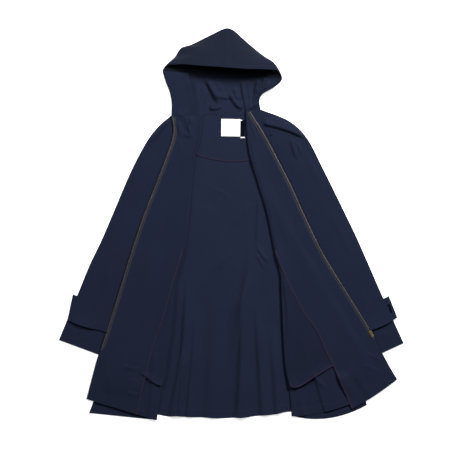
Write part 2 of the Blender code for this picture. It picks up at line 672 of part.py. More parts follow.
def build_hood_band(prefix, column, sign):
    """The facing band inside one side of the hood opening."""
    rows = []
    for t in HOOD_BAND_STEPS:
        row = []
        for c in np.linspace(HOOD_BAND_INNER[prefix], HOOD_BAND_OUTER, 5):
            x, y, z = hood_low(column, sign, t, c)
            row.append((x, y, z + HOOD_BAND_RISE))
        rows.append(row)
    grid("hood_facing_" + prefix, rows, NAVY_INSIDE, flip=sign < 0)


def build_patch(name, place, colour):
    """A small flat rectangle sewn on the neck facing."""
    turn = math.radians(place["turn_deg"])
    rows = []
    for v in (-0.5, 0.5):
        row = []
        for u in (-0.5, 0.5):
            dx, dy = place["size"][0] * u, place["size"][1] * v
            x = place["centre"][0] + dx * math.cos(turn) - dy * math.sin(turn)
            y = place["centre"][1] + dx * math.sin(turn) + dy * math.cos(turn)
            row.append((x, y, PATCH_LEVEL))
        rows.append(row)
    grid(name, rows, colour, wall_mm=PATCH_WALL)


def build_strap(prefix):
    """A cuff strap lying across the sleeve, its lower edge standing up in the middle."""
    outer_up, outer_low, inner_up, inner_low = (np.array(p) for p in STRAPS[prefix])
    rows = []
    for v in STRAP_ALONG:
        row = []
        for u in STRAP_ACROSS:
            upper, lower = outer_up * (1 - u) + inner_up * u, outer_low * (1 - u) + inner_low * u
            x, y = upper * (1 - v) + lower * v
            lift = STRAP_LIFT * v**3 * math.sin(math.pi * min(u / STRAP_LIFT_END, 1.0))
            row.append((x, y, STRAP_LEVEL + lift))
        rows.append(row)
    grid("cuff_strap_" + prefix, rows, NAVY, flip=prefix == "right", skip=STRAP_SLOT[prefix])


def add_stack(name, rings, colour, roughness):
    """A closed metal solid over rings of points that stand one above another."""
    n = len(rings[0])
    points = [p for ring in rings for p in ring]
    faces = [tuple(reversed(range(n)))]
    for level in range(len(rings) - 1):
        for k in range(n):
            a, b = level * n + k, level * n + (k + 1) % n
            faces.append((a, b, b + n, a + n))
    faces.append(tuple(range(len(points) - n, len(points))))
    add_object(name, placed(points), faces, colour, roughness, metallic=1.0)


def build_block(name, side, start_mm, size):
    """A small bevelled block on the zip's line, start_mm past the zip's last row."""
    _, free, across = across_facing(side, ZIP_END)
    ahead = edge(side, "zip", ZIP_END + 0.05)
    way = (ahead - free) / np.linalg.norm(ahead - free)
    centre = free - across * CHAIN_WIDTH / 2 + way * (start_mm + size[0] / 2) * MM / CM
    side_way = np.array((-way[1], way[0]))
    base = over_level(side, ZIP_END, 1.0) + HARDWARE_RISE
    rings = []
    for z, shrink in ((0.0, 1.0), (size[2] - BLOCK_BEVEL, 1.0), (size[2], BLOCK_TOP)):
        ring = []
        for a, b in BLOCK_OUTLINE:
            p = centre + (way * a * size[0] + side_way * b * size[1]) * shrink / 2 * MM / CM
            ring.append((*p, base + z))
        rings.append(ring)
    add_stack(name, rings, BRASS, 0.35)


def build_snap():
    """The small press stud at the top of the right front."""
    x, y = SNAP["centre"]
    base = over_level(RIGHT, 1.0, 0.0) + FACING_RISE + WALL / 2 + TRIM_GAP_MM
    rings = []
    for level, reach in SNAP_OUTLINE:
        r = SNAP["radius_mm"] * reach * MM / CM
        z = base + SNAP["height_mm"] * level
        angles = [2 * math.pi * k / SNAP_SIDES for k in range(SNAP_SIDES)]
        rings.append([(x + r * math.cos(a), y + r * math.sin(a), z) for a in angles])
    add_stack("press_stud", rings, WHITE, 0.3)


clear_scene()
build_back()
build_yoke()
for prefix, side, sign in (("left", LEFT, -1), ("right", RIGHT, 1)):
    build_front(prefix, side, sign)
    build_sleeve(prefix, side, sign)
    build_facing(prefix, side, sign)
    build_binding(prefix, side, sign)
    build_zip(prefix, side, sign)
build_bag("left", LEFT_BAG, -1)
build_bag("right", RIGHT_BAG, 1)
build_hood_side("left", 1, -1)
build_hood_side("right", 2, 1)
build_hood_strip()
build_hood_band("left", 1, -1)
build_hood_band("right", 2, 1)
build_strap("left")
build_strap("right")
build_block("zip_slider", RIGHT, SLIDER_START, SLIDER)
build_block("zip_box", RIGHT, ZIP_BOX_START, ZIP_BOX)
build_block("zip_pin", LEFT, ZIP_PIN_START, ZIP_PIN)
build_snap()
build_patch("neck_label", LABEL, WHITE)
build_patch("size_tab", SIZE_TAB, NAVY)
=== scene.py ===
import itertools
import math

import bmesh
import bpy
import numpy as np
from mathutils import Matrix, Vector


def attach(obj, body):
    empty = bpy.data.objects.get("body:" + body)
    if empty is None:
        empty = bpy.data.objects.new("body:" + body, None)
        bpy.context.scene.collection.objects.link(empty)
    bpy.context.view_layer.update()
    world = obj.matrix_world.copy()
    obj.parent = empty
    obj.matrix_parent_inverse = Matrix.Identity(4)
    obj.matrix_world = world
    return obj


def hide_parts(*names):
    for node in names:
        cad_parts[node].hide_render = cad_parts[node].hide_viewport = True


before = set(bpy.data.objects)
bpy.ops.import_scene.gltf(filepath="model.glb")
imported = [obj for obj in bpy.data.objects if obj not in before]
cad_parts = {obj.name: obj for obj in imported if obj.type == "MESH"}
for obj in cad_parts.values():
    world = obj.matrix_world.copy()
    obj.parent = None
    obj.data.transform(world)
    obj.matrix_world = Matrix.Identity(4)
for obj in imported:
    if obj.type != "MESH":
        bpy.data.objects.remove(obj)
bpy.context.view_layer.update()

CM, MM = 0.01, 0.001
ORIGIN = (0.0, 0.2)

# Cloth thickness, the levels of each ply and how high trim stands over it, in millimetres; a
# fold's roll has its height in millimetres and its reach in centimetres.
CLOTH = 0.7
BACK_LEVEL = 0.6
YOKE_LEVEL = 2.2
UNDER_LEVEL, UNDER_LEVEL_ON_YOKE = 2.4, 4.0
SLEEVE_EDGE_LEVEL, SLEEVE_PUFF_LEVEL, SLEEVE_CUFF_LEVEL = 4.0, 5.4, 4.6
OVER_LEVEL, BAG_LEVEL, STRAP_LEVEL = 8.4, 10.5, 6.3
FACING_RISE, FACING_RISE_ON_BAG = 1.5, 3.9
FOLD_ROLL, FOLD_ROLL_REACH = 3.6, 2.2
TAPE_RISE, CHAIN_RISE = 1.5, 2.6
TOOTH_START, TOOTH_PITCH, TOOTH_HALF = 1.0, 2.5, 0.62

# Zip and trim: widths, insets and where the hood's strip ends and its sides start, in centimetres.
TAPE_WIDTH, CHAIN_WIDTH, BINDING_WIDTH = 1.2, 0.55, 0.45
FRONT_EDGE_INSET, TRIM_GAP, HOOD_STRIP_HALF, HOOD_SIDE_START = 0.4, 0.08, 0.9, 0.95

# Row numbers of the tables below: where the bindings start, the zip's and its tape's ends, the
# cuff, where the hem's bow starts and the hem; where the turned-up hem and cuff step up; the
# hood's brim and peak, and where the brim's own curve has faded out of the crown.
BINDING_START, ZIP_END, TAPE_END, CUFF, BOW_START, HEM = 4.95, 8.0, 8.4, 9, 9.2, 11
HEM_STEP, CUFF_STEP = (10.62, 10.66), (8.72, 8.75)
BRIM_ROW, PEAK_ROW, BRIM_FADED = 5, 12, 8.5

# What differs from side to side: which way is out, the facing's first row, how far out the
# hood's band starts, the hood side's flat size and the areas of hood side, band and pocket bag.
SIGN = {"left": -1, "right": 1}
FACING_START = {"left": 0.1, "right": 0.8}
BAND_START = {"left": 0.66, "right": 0.5}
HOOD_FLAT = {"left": (0.27, 0.40), "right": (0.20, 0.34)}
HOOD_AREA = {"left": 0.056, "right": 0.027}
BAND_AREA = {"left": 0.0085, "right": 0.0043}
BAG_AREA = {"left": 0.024, "right": 0.040}

# Each side's edges from the neck to the hem, as x, y: seam, fold, facing's bound edge, zip edge
# and, as far as the cuff, the sleeve's outer edge. HEM_LEVELS are the heights in millimetres
# that the folded-over ply's zip edge sinks to at the skirt and at the hem.
COLUMNS = ("station", "seam", "fold", "bound", "zip", "arm")
LEFT = (
    ("neck", (-12.9, 31.3), (-8.1, 31.6), (-8.9, 31.5), (-17.0, 31.0), (-17.3, 31.0)),
    ("collar", (-14.8, 25.3), (-8.8, 25.3), (-9.6, 25.3), (-16.6, 25.9), (-20.6, 28.2)),
    ("shoulder", (-16.6, 19.9), (-10.2, 19.9), (-11.0, 19.9), (-18.4, 19.9), (-24.2, 23.5)),
    ("chest", (-19.0, 11.7), (-11.2, 11.4), (-12.0, 11.4), (-21.6, 11.5), (-28.6, 15.1)),
    ("underarm", (-21.9, 3.1), (-12.0, 3.1), (-12.8, 3.1), (-24.9, 3.1), (-33.0, 4.8)),
    ("waist", (-25.6, -7.2), (-13.3, -7.2), (-14.2, -7.2), (-28.4, -7.2), (-36.9, -4.3)),
    ("pocket", (-28.9, -16.6), (-15.8, -16.0), (-16.8, -16.0), (-31.3, -16.6), (-40.3, -11.4)),
    ("hip", (-32.0, -26.0), (-17.4, -26.0), (-19.6, -26.0), (-34.2, -26.0), (-43.7, -19.7)),
    ("zip_end", (-34.1, -33.1), (-18.6, -34.2), (-22.5, -34.2), (-36.7, -34.0), (-46.7, -27.0)),
    ("cuff", (-35.4, -37.9), (-19.4, -39.6), (-23.9, -39.6), (-38.3, -37.9), (-49.1, -32.8)),
    ("skirt", (-38.0, -46.5), (-20.3, -48.0), (-25.6, -46.5), (-40.3, -45.3)),
    ("hem", (-40.6, -53.6), (-21.2, -55.6), (-27.2, -53.9), (-41.4, -49.6)),
)
RIGHT = (
    ("neck", (7.0, 32.7), (4.0, 32.5), (4.3, 32.5), (5.3, 32.6), (8.5, 32.8)),
    ("collar", (10.2, 25.3), (4.5, 24.8), (5.3, 24.8), (9.5, 25.9), (16.4, 29.6)),
    ("shoulder", (13.0, 19.9), (5.2, 19.9), (6.0, 19.9), (12.7, 19.9), (21.6, 24.6)),
    ("chest", (16.7, 11.7), (7.7, 11.4), (8.5, 11.4), (17.0, 11.5), (26.5, 15.2)),
    ("underarm", (20.7, 3.1), (10.2, 3.1), (11.0, 3.1), (20.8, 3.1), (31.3, 5.5)),
    ("waist", (24.7, -7.2), (12.2, -7.2), (13.0, -7.7), (25.8, -7.3), (35.5, -3.2)),
    ("pocket", (28.1, -16.0), (14.0, -15.0), (16.2, -15.7), (31.0, -16.0), (39.0, -11.1)),
    ("hip", (31.8, -24.8), (15.0, -25.4), (20.9, -24.8), (36.5, -24.8), (43.1, -20.5)),
    ("zip_end", (33.8, -30.2), (15.6, -32.2), (25.0, -30.7), (39.6, -30.0), (46.0, -26.9)),
    ("cuff", (36.3, -39.6), (16.0, -38.5), (27.8, -37.1), (43.1, -36.4), (49.1, -33.7)),
    ("skirt", (37.2, -45.6), (16.6, -47.1), (31.3, -43.3), (45.5, -40.8)),
    ("hem", (38.7, -51.3), (17.2, -54.6), (34.8, -50.0), (47.4, -43.9)),
)
SIDES = {"left": LEFT, "right": RIGHT}
HEM_LEVELS = {"left": (6.5, 5.0), "right": (6.0, 4.0)}
# How far each panel's hem hangs below a straight line in its middle, in centimetres.
HEM_BOW = {"back": 2.7, "left_under": 0.0, "left_over": 0.0, "right_under": 2.1, "right_over": 2.3}
# Hood rows from the neck to the peak. Left and right are x, y in centimetres and the
# height in millimetres of the brim (to row "brim") or of the widest line of the crown.
# The last value is the x of the middle of the back strip on the surface.
HOOD = (
    ("neck", (-17.1, 31.06, 9), (8.4, 32.85, 6), 3.6),
    ("nape", (-17.0, 34.6, 12), (8.0, 35.2, 11), 3.6),
    ("ear", (-17.6, 37.9, 17), (8.9, 37.2, 17), 3.5),
    ("cheek", (-18.6, 40.4, 23), (12.0, 39.0, 24), 3.4),
    ("temple", (-19.2, 42.4, 28), (13.8, 40.4, 30), 3.2),
    ("brim", (-19.4, 44.1, 31), (14.4, 41.9, 34), 3.0),
    ("crown_1", (-17.9, 45.9, 28), (13.0, 44.8, 28), 2.6),
    ("crown_2", (-16.0, 47.7, 22), (10.2, 47.2, 22), 2.2),
    ("crown_3", (-14.3, 50.3, 17), (7.0, 49.8, 17), 1.6),
    ("crown_4", (-11.4, 51.3, 13), (5.0, 51.5, 13), 1.0),
    ("crown_5", (-7.8, 53.1, 9), (2.9, 53.4, 9), 0.2),
    ("crown_6", (-4.4, 54.8, 6.5), (1.4, 54.8, 6.5), -0.7),
    ("peak", (-2.6, 55.7, 4.5), (0.2, 55.7, 4.5), -1.2),
)
CROWN_STRIP_X, CROWN_AT_BRIM_MM, CROWN_AT_PEAK_MM = -1.2, 66, 8.4
# The brim's edge in plan, from left to right.
BRIM = ((-19.4, 44.1), (-19.0, 44.7), (-17.8, 45.35), (-13.9, 45.6), (-8.7, 45.1), (-1.85, 44.6),
        (5.0, 44.1), (9.5, 44.15), (12.65, 44.0), (13.6, 43.3), (14.4, 41.9))

# Pocket bags: the loose edge and the edge under the facing, from top to bottom, in cm.
BAGS = {"left": (
    ("top", (-16.1, -17.4), (-20.6, -15.8)),
    ("upper", (-16.8, -27.7), (-24.3, -24.8)),
    ("middle", (-17.9, -35.7), (-26.6, -32.8)),
    ("lower", (-18.8, -42.3), (-28.3, -37.9)),
    ("bottom", (-19.8, -45.6), (-28.9, -40.2)),
), "right": (
    ("top", (14.2, -13.6), (19.8, -12.3)),
    ("upper", (14.4, -21.4), (24.4, -19.1)),
    ("middle", (14.8, -30.0), (28.4, -27.7)),
    ("lower", (15.4, -39.9), (31.8, -34.8)),
    ("bottom", (16.6, -45.6), (33.5, -37.6)),
)}

# Cuff straps, each a wide band across the sleeve: its corners in plan, in cm, outer upper,
# outer lower, inner upper and inner lower. The right strap has a slot near its outer end.
STRAPS = {
    "left": ((-45.1, -19.8), (-46.7, -27.1), (-33.0, -23.6), (-35.2, -30.7)),
    "right": ((44.8, -20.3), (47.3, -26.4), (34.4, -25.1), (37.3, -31.1)),
}

# Soft folds and creases: the line each runs along in plan, its height in millimetres, how
# wide it is on the left and on the right of its way in centimetres, and the parts of its
# length over which it grows and fades. A height below nought is a trough.
BACK_FOLDS = (
    (((-12.5, -13.4), (-13.2, -26.0), (-14.3, -38.0), (-16.9, -52.0), (-17.4, -56.0)), 11, 2.4, 0.5, 0.4, 0),
    (((-9.6, -20.0), (-10.8, -36.0), (-12.0, -48.0), (-12.6, -56.0)), 7.6, 1.9, 0.5, 0.5, 0),
    (((-12.6, -34.0), (-14.2, -44.0), (-14.9, -56.0)), 5.0, 0.9, 0.35, 0.4, 0),
    (((-4.4, -14.0), (-5.2, -34.0), (-6.6, -57.0)), 6.0, 3, 1.4, 0.7, 0),
    (((6.9, -2.0), (5.0, -11.4), (3.2, -24.0), (2.9, -38.5), (2.0, -57.0)), 14.0, 2.6, 0.95, 0.45, 0),
    (((5.4, -17.1), (2.9, -21.4), (1.2, -33.4), (0.2, -41.0)), 8.0, 0.7, 1.6, 0.3, 0.45),
    (((6.6, -18.0), (7.6, -32.0), (9.1, -57.0)), 9.5, 2.4, 0.7, 0.5, 0),
    (((11.0, -26.0), (12.4, -44.0), (13.4, -57.0)), 7.5, 2, 0.7, 0.5, 0),
    (((7.9, 9.0), (7.5, 0.0), (7.0, -8.0)), 3.6, 0.8, 0.35, 0.3, 0.3),
    (((7.0, -5.6), (8.6, -8.4), (10.6, -10.8)), 4.6, 0.7, 0.35, 0.3, 0.3),
    (((6.6, -8.0), (8.0, -9.8), (9.6, -12.8)), 3.6, 0.5, 0.3, 0.3, 0.3),
    (((5.8, 8.8), (2.6, 3.0), (-1.6, -3.6)), 2.4, 0.9, 0.5, 0.4, 0.4),
    (((0.8, -6.8), (-2.4, -9.8), (-6.2, -13.6)), 1.9, 0.8, 0.4, 0.4, 0.4),
    (((-7.0, 10.6), (-3.2, 9.6), (0.6, 7.2)), 1.2, 0.27, 0.6, 0.4, 0.4),
    (((-9.4, 6.0), (-6.0, 3.4), (-3.0, 2.6)), 0.7, 0.6, 0.3, 0.4, 0.4),
    (((-24.0, -20.0), (-26.5, -38.0), (-28.0, -55.0)), 1.7, 2, 2, 0.6, 0),
    (((23.0, -18.0), (25.5, -36.0), (27.0, -55.0)), 1.7, 2, 2, 0.6, 0),
)
LEFT_FOLDS = (
    (((-16.2, 30.2), (-14.9, 27.6), (-14.2, 24.0)), 3.6, 0.8, 0.4, 0.3, 0.5),
    (((-11.2, 31.4), (-11.9, 28.2), (-11.4, 24.2)), 4.8, 0.9, 0.42, 0.25, 0.5),
    (((-13.4, 26.6), (-12.4, 25.4), (-10.9, 25.0)), 2.4, 0.3, 0.5, 0.4, 0.4),
    (((-8.5, 31.0), (-9.5, 26.0), (-10.6, 20.5), (-11.4, 12.0), (-12.4, 2.0)), -2.4, 0.34, 1.3, 0.2, 0.4),
    (((-13.6, 12.0), (-16.8, -4.0), (-22.0, -22.0)), 1.8, 2.6, 1.7, 0.5, 0.5),
    (((-19.0, -2.0), (-22.5, -16.0), (-27.0, -32.0)), 1.4, 1.2, 2.6, 0.5, 0.5),
    (((-31.4, -39.6), (-28.6, -40.6), (-25.8, -40.9)), 2.1, 0.22, 0.5, 0.4, 0.3),
    (((-30.4, -47.3), (-28.4, -47.9), (-26.0, -48.6)), 2.1, 0.22, 0.5, 0.4, 0.3),
    (((-31.0, -44.0), (-28.0, -44.4), (-26.4, -44.3)), 1.0, 0.22, 0.4, 0.4, 0.3),
    (((-33.0, -36.0), (-35.4, -44.0), (-37.6, -51.0)), 1.9, 1, 1.8, 0.5, 0),
    (((-21.2, -30.0), (-22.4, -42.0), (-23.4, -56.0)), 2.6, 1.1, 0.6, 0.4, 0),
)
RIGHT_FOLDS = (
    (((5.0, 31.0), (6.2, 27.4), (7.6, 23.0)), 2.2, 0.3, 0.5, 0.3, 0.4),
    (((7.0, 30.0), (8.8, 26.2), (10.6, 22.6)), 1.9, 0.5, 0.26, 0.3, 0.4),
    (((11.8, 10.5), (18.1, -4.6), (29.3, -20.8)), 2.4, 1, 2.4, 0.4, 0.4),
    (((26.2, -16.8), (31.6, -26.0), (37.2, -36.8)), 1.9, 0.68, 1.8, 0.4, 0.3),
    (((10.4, 14.0), (13.2, 4.0), (17.0, -6.0)), 1.3, 0.6, 1.6, 0.4, 0.4),
    (((22.9, -41.6), (25.2, -44.6), (27.8, -46.7)), 3.5, 0.26, 0.8, 0.2, 0.4),
    (((37.6, -35.6), (40.4, -37.4), (43.6, -38.8)), 1.4, 0.3, 0.5, 0.4, 0.4),
    (((36.0, -40.2), (39.6, -40.6), (43.4, -43.0)), 1.3, 0.5, 0.3, 0.4, 0.4),
    (((31.2, -38.0), (35.4, -43.0), (39.6, -48.6)), 1.8, 1.5, 0.9, 0.4, 0),
    (((18.2, -44.0), (19.6, -50.0), (21.0, -57.0)), 2.6, 1, 0.6, 0.3, 0),
)
LEFT_SLEEVE_FOLDS = (
    (((-17.4, 29.9), (-20.0, 27.0), (-23.4, 22.4)), 8.5, 0.28, 1.1, 0.15, 0.4),
    (((-20.0, 24.6), (-22.6, 18.0), (-26.4, 9.0)), 1.5, 0.4, 1.2, 0.4, 0.5),
    (((-33.4, -5.6), (-35.0, -12.0), (-36.6, -20.6)), 1.7, 0.9, 0.4, 0.4, 0.4),
    (((-29.6, 4.0), (-32.0, -4.0), (-36.4, -13.0)), 1.2, 1.2, 0.64, 0.4, 0.5),
    (((-36.6, -21.0), (-40.2, -26.6), (-42.6, -33.6)), 1.4, 0.56, 1.2, 0.4, 0.3),
    (((-38.4, -31.0), (-42.4, -32.6), (-46.6, -33.0)), 1.0, 0.32, 0.6, 0.4, 0.4),
)
RIGHT_SLEEVE_FOLDS = (
    (((8.6, 28.9), (13.0, 27.9), (17.0, 26.6), (21.4, 24.6)), 8.9, 1.5, 0.26, 0.1, 0.2),
    (((11.0, 31.0), (14.4, 29.2), (17.4, 27.8)), 2.2, 0.48, 0.8, 0.3, 0.4),
    (((16.9, 24.9), (17.7, 21.8), (18.9, 18.0)), 5.0, 0.8, 0.45, 0.25, 0.4),
    (((18.9, 23.6), (19.5, 21.4), (20.0, 19.4)), 3.4, 0.6, 0.35, 0.25, 0.4),
    (((20.6, 22.6), (23.6, 15.6), (26.8, 9.0)), 1.2, 0.64, 1.1, 0.4, 0.5),
    (((27.4, 6.0), (31.0, -2.6), (36.4, -12.6)), 1.2, 1.3, 0.64, 0.4, 0.5),
    (((35.4, -16.4), (38.2, -23.0), (42.2, -33.8)), 1.2, 1.2, 0.56, 0.4, 0.3),
    (((40.8, -30.0), (44.2, -31.0), (47.0, -31.6)), 0.8, 0.32, 0.6, 0.4, 0.4),
)
HOOD_FOLDS = (
    (((-7.6, 42.4), (-6.8, 40.7), (-5.6, 38.6), (-4.1, 35.6), (-3.5, 33.8)), 12.0, 1.5, 0.5, 0.3, 0.3),
    (((-4.6, 41.6), (-3.4, 39.4), (-2.6, 37.6)), 7.5, 0.5, 0.9, 0.3, 0.4),
    (((-6.4, 33.4), (-4.6, 33.1), (-2.6, 33.9)), 9.0, 0.9, 0.4, 0.2, 0.25),
    (((-4.6, 36.0), (-3.2, 36.5), (-1.6, 36.2), (-0.2, 36.8)), 6.5, 1.2, 0.4, 0.25, 0.3),
    (((-1.0, 38.0), (0.3, 36.0), (1.5, 34.3), (3.3, 32.9)), 10.0, 1.2, 0.45, 0.3, 0.15),
    (((0.8, 39.4), (1.4, 37.0), (2.6, 35.1)), 8.0, 0.7, 0.45, 0.3, 0.3),
    (((2.9, 41.6), (3.2, 38.2), (4.0, 34.2), (4.5, 32.2)), 6.5, 1.3, 0.3, 0.2, 0.1),
    (((4.6, 41.6), (5.0, 38.6), (5.2, 35.4), (5.2, 32.8)), 3.5, 0.7, 0.25, 0.2, 0.1),
    (((7.6, 42.0), (7.2, 39.6), (6.4, 37.0)), 10.0, 0.8, 0.45, 0.3, 0.4),
    (((11.0, 41.4), (9.8, 39.6), (8.0, 36.4)), 9.0, 0.7, 0.5, 0.25, 0.3),
    (((12.6, 40.6), (10.6, 38.9), (8.8, 38.3)), 5.5, 0.45, 0.7, 0.2, 0.4),
    (((7.9, 35.0), (6.4, 33.8), (5.4, 33.0)), 4.5, 0.4, 0.7, 0.2, 0.3),
    (((-10.2, 42.0), (-9.9, 38.0), (-10.0, 34.0)), 5.5, 1.2, 0.7, 0.3, 0.4),
    (((-8.6, 40.4), (-8.0, 37.4), (-8.4, 34.6)), 5.0, 0.9, 0.5, 0.3, 0.4),
    (((-8.6, 36.4), (-9.8, 33.6), (-10.4, 30.6)), 3.0, 0.5, 0.8, 0.3, 0.3),
)
NECK_FOLDS = (
    (((-15.9, 33.4), (-14.2, 31.4), (-11.6, 29.8), (-10.4, 27.6)), 3.0, 0.5, 1.0, 0.3, 0.4),
    (((-15.8, 28.6), (-14.4, 30.6), (-11.6, 33.0)), 2.2, 0.9, 0.35, 0.3, 0.4),
    (((-12.9, 31.0), (-12.4, 28.4), (-11.5, 25.4)), 3.0, 0.3, 0.8, 0.3, 0.3),
    (((-14.2, 25.9), (-12.6, 25.3), (-10.6, 25.5)), 1.8, 0.6, 0.25, 0.3, 0.3),
    (((-15.6, 25.0), (-14.6, 22.6), (-14.4, 19.6)), 1.2, 0.8, 0.5, 0.3, 0.4),
)
CROWN_FOLDS = (
    (((-15.4, 47.4), (-9.0, 48.2), (-3.4, 47.4)), 1.3, 1.6, 1.4, 0.4, 0.5),
    (((-12.6, 50.0), (-8.4, 49.0), (-3.0, 50.6)), 1.0, 1.0, 1.2, 0.4, 0.5),
    (((11.6, 44.6), (6.4, 46.2), (1.4, 45.8)), 1.2, 1.2, 1.5, 0.4, 0.5),
    (((8.6, 48.0), (5.0, 49.2), (1.2, 48.6)), 1.0, 0.9, 1.1, 0.4, 0.5),
)
BAG_FOLDS = (
    (((14.6, -14.0), (15.6, -22.0), (16.0, -29.0), (15.8, -36.0)), 3.4, 1.6, 0.18, 0.2, 0.4),
    (((21.0, -20.0), (20.0, -30.0), (20.6, -40.0)), 1.0, 1.8, 1.4, 0.4, 0.4),
)
# The step in the right front's over ply near the hem: y and x, in centimetres.
STEP_LINE = ((-41.0, 22.4), (-43.3, 23.7), (-48.0, 25.0), (-52.2, 26.2), (-56.0, 27.8))


def ease(value, start, end):
    """0 before start, 1 after end, and a smooth step between them."""
    t = np.clip((np.asarray(value, dtype=float) - start) / (end - start), 0.0, 1.0)
    return t * t * (3 - 2 * t)


def smooth_rows(rows, t):
    """Read a table column at each row number of t along a smooth curve through its rows."""
    values = np.array(rows, dtype=float).reshape(len(rows), -1)
    last = len(values) - 1
    t = np.clip(np.asarray(t, dtype=float), 0.0, last)
    i = np.minimum(t.astype(int), last - 1)
    f = (t - i)[..., None]
    before, here = values[np.maximum(i - 1, 0)], values[i]
    there, after = values[i + 1], values[np.minimum(i + 2, last)]
    out, into = (there - before) / 2, (after - here) / 2
    return ((2 * f**3 - 3 * f**2 + 1) * here + (f**3 - 2 * f**2 + f) * out
            + (3 * f**2 - 2 * f**3) * there + (f**3 - f**2) * into)


def edge(side, column, t):
    """The x, y of one side's named edge at each row number of t."""
    k = COLUMNS.index(column)
    return smooth_rows([row[k] for row in SIDES[side] if len(row) > k], t)


def unit(v):
    """Each vector at length one."""
    return v / np.maximum(np.linalg.norm(v, axis=-1, keepdims=True), 1e-12)


def across(start, stop, count):
    """Evenly spaced values along a grid's rows."""
    return np.linspace(start, stop, count)[None, :]


def down(start, stop, count):
    """Evenly spaced values down a grid's columns."""
    return np.linspace(start, stop, count)[:, None]


def reach_of(line):
    """How far along a line each of its points is."""
    return np.concatenate(([0.0], np.cumsum(np.linalg.norm(np.diff(line, axis=0), axis=1))))


def point_at(line, reach, distance):
    """The point or direction at a distance along a line."""
    return np.array([np.interp(distance, reach, line[:, k]) for k in range(line.shape[1])])


def place(x, y, z):
    """Plan centimetres and millimetres of height as points in metres."""
    x, y, z = np.broadcast_arrays(x, y, z)
    return np.stack(((x - ORIGIN[0]) * CM, (y - ORIGIN[1]) * CM, z * MM), axis=-1)


def relief(x, y, folds):
    """Height in millimetres of the listed folds at x, y in plan centimetres."""
    x, y = np.broadcast_arrays(x, y)
    total = np.zeros(x.shape)
    for line, height, left, right, grow, fade in folds:
        run = smooth_rows(line, np.linspace(0, len(line) - 1, 6 * (len(line) - 1) + 1))
        reach = reach_of(run)
        near = np.full(x.shape, 1e9)
        bank = np.zeros(x.shape)
        along = np.zeros(x.shape)
        for a, b, start, stop in zip(run[:-1], run[1:], reach[:-1], reach[1:]):
            d = b - a
            px, py = x - a[0], y - a[1]
            h = np.clip((px * d[0] + py * d[1]) / (d @ d), 0.0, 1.0)
            away = np.hypot(px - h * d[0], py - h * d[1])
            closer = away < near
            near = np.where(closer, away, near)
            bank = np.where(closer, d[0] * py - d[1] * px, bank)
            along = np.where(closer, (start + (stop - start) * h) / reach[-1], along)
        bell = np.exp(-((near / np.where(bank > 0, left, right)) ** 2))
        shape = ease(along, 0.0, grow) if grow else 1.0
        shape = shape * (1 - ease(along, 1 - fade, 1.0)) if fade else shape
        total += height * bell * shape
    return total


def ripple(x, y, cell, seed):
    """Seeded smooth unevenness between -1 and 1, with bumps about cell centimetres apart."""
    rng = np.random.default_rng(seed)
    count = 64
    knots = rng.uniform(-1, 1, (count, count))
    turn = rng.uniform(0.3, 1.2)
    gx = (x * math.cos(turn) - y * math.sin(turn)) / cell + 300.0
    gy = (x * math.sin(turn) + y * math.cos(turn)) / cell + 300.0
    i, j = np.floor(gx).astype(int), np.floor(gy).astype(int)
    fx, fy = gx - i, gy - j
    fx, fy = fx**3 * (fx * (6 * fx - 15) + 10), fy**3 * (fy * (6 * fy - 15) + 10)
    i, j, k, m = i % count, j % count, (i + 1) % count, (j + 1) % count
    return ((knots[i, j] * (1 - fx) + knots[k, j] * fx) * (1 - fy)
            + (knots[i, m] * (1 - fx) + knots[k, m] * fx) * fy)


def under_level(y):
    """Level of a front's under ply, which steps up over the neck facing."""
    return UNDER_LEVEL + (UNDER_LEVEL_ON_YOKE - UNDER_LEVEL) * ease(y, 13.0, 17.5)


def front_relief(side, x, y):
    """Unevenness that every ply of one folded-over front shares."""
    left = side == "left"
    folds, seed = (LEFT_FOLDS, 11) if left else (RIGHT_FOLDS, 21)
    near_neck = relief(x, y, NECK_FOLDS) if left else 0.0
    return (relief(x, y, folds) + near_neck + 0.55 * ripple(x, y, 7.5, seed)
            + 0.18 * ripple(x, y, 2.8, seed + 1) + 0.3)


def hem_hang(name, u, t, power=1):
    """How far a point at u across a panel hangs below the straight row at row number t."""
    return HEM_BOW[name] * (4 * u * (1 - u)) ** power * ease(t, BOW_START, HEM)


def over_level(side, t, c):
    """Height of the folded-over ply at row number t, c of the way from fold to zip."""
    at_zip = smooth_rows([OVER_LEVEL] * (CUFF + 1) + list(HEM_LEVELS[side]), t)[..., 0]
    width = np.linalg.norm(edge(side, "zip", t) - edge(side, "fold", t), axis=-1)
    roll = FOLD_ROLL * np.exp(-((c * width / FOLD_ROLL_REACH) ** 2))
    return OVER_LEVEL + (at_zip - OVER_LEVEL) * c + roll


def lower_step(side, x, y):
    """How far the right front's over ply drops beside the step near its hem."""
    if side == "left":
        return np.zeros(np.broadcast(x, y).shape)
    rows = np.array(STEP_LINE[::-1])
    line = np.interp(y, rows[:, 0], rows[:, 1])
    beside = 1 - ease(x - line, -0.22, 0.12)
    return beside * ease(-y, 41.6, 43.6)


def over_points(side, t, x, y, rise):
    """Points rise millimetres above the folded-over ply at x, y near row numbers t."""
    fold, free = edge(side, "fold", t), edge(side, "zip", t)
    c = np.clip((x - fold[..., 0]) / (free[..., 0] - fold[..., 0]), 0.0, 1.0)
    y = y - hem_hang(side + "_over", c, t)
    return place(x, y, over_level(side, t, c) + rise + front_relief(side, x, y))


# ---------------------------------------------------------------- meshes

def faces_of(cells, columns):
    """Quads of a grid's kept cells."""
    i, j = np.nonzero(cells)
    k = i * columns + j
    return np.stack((k, k + columns, k + columns + 1, k + 1), axis=1)


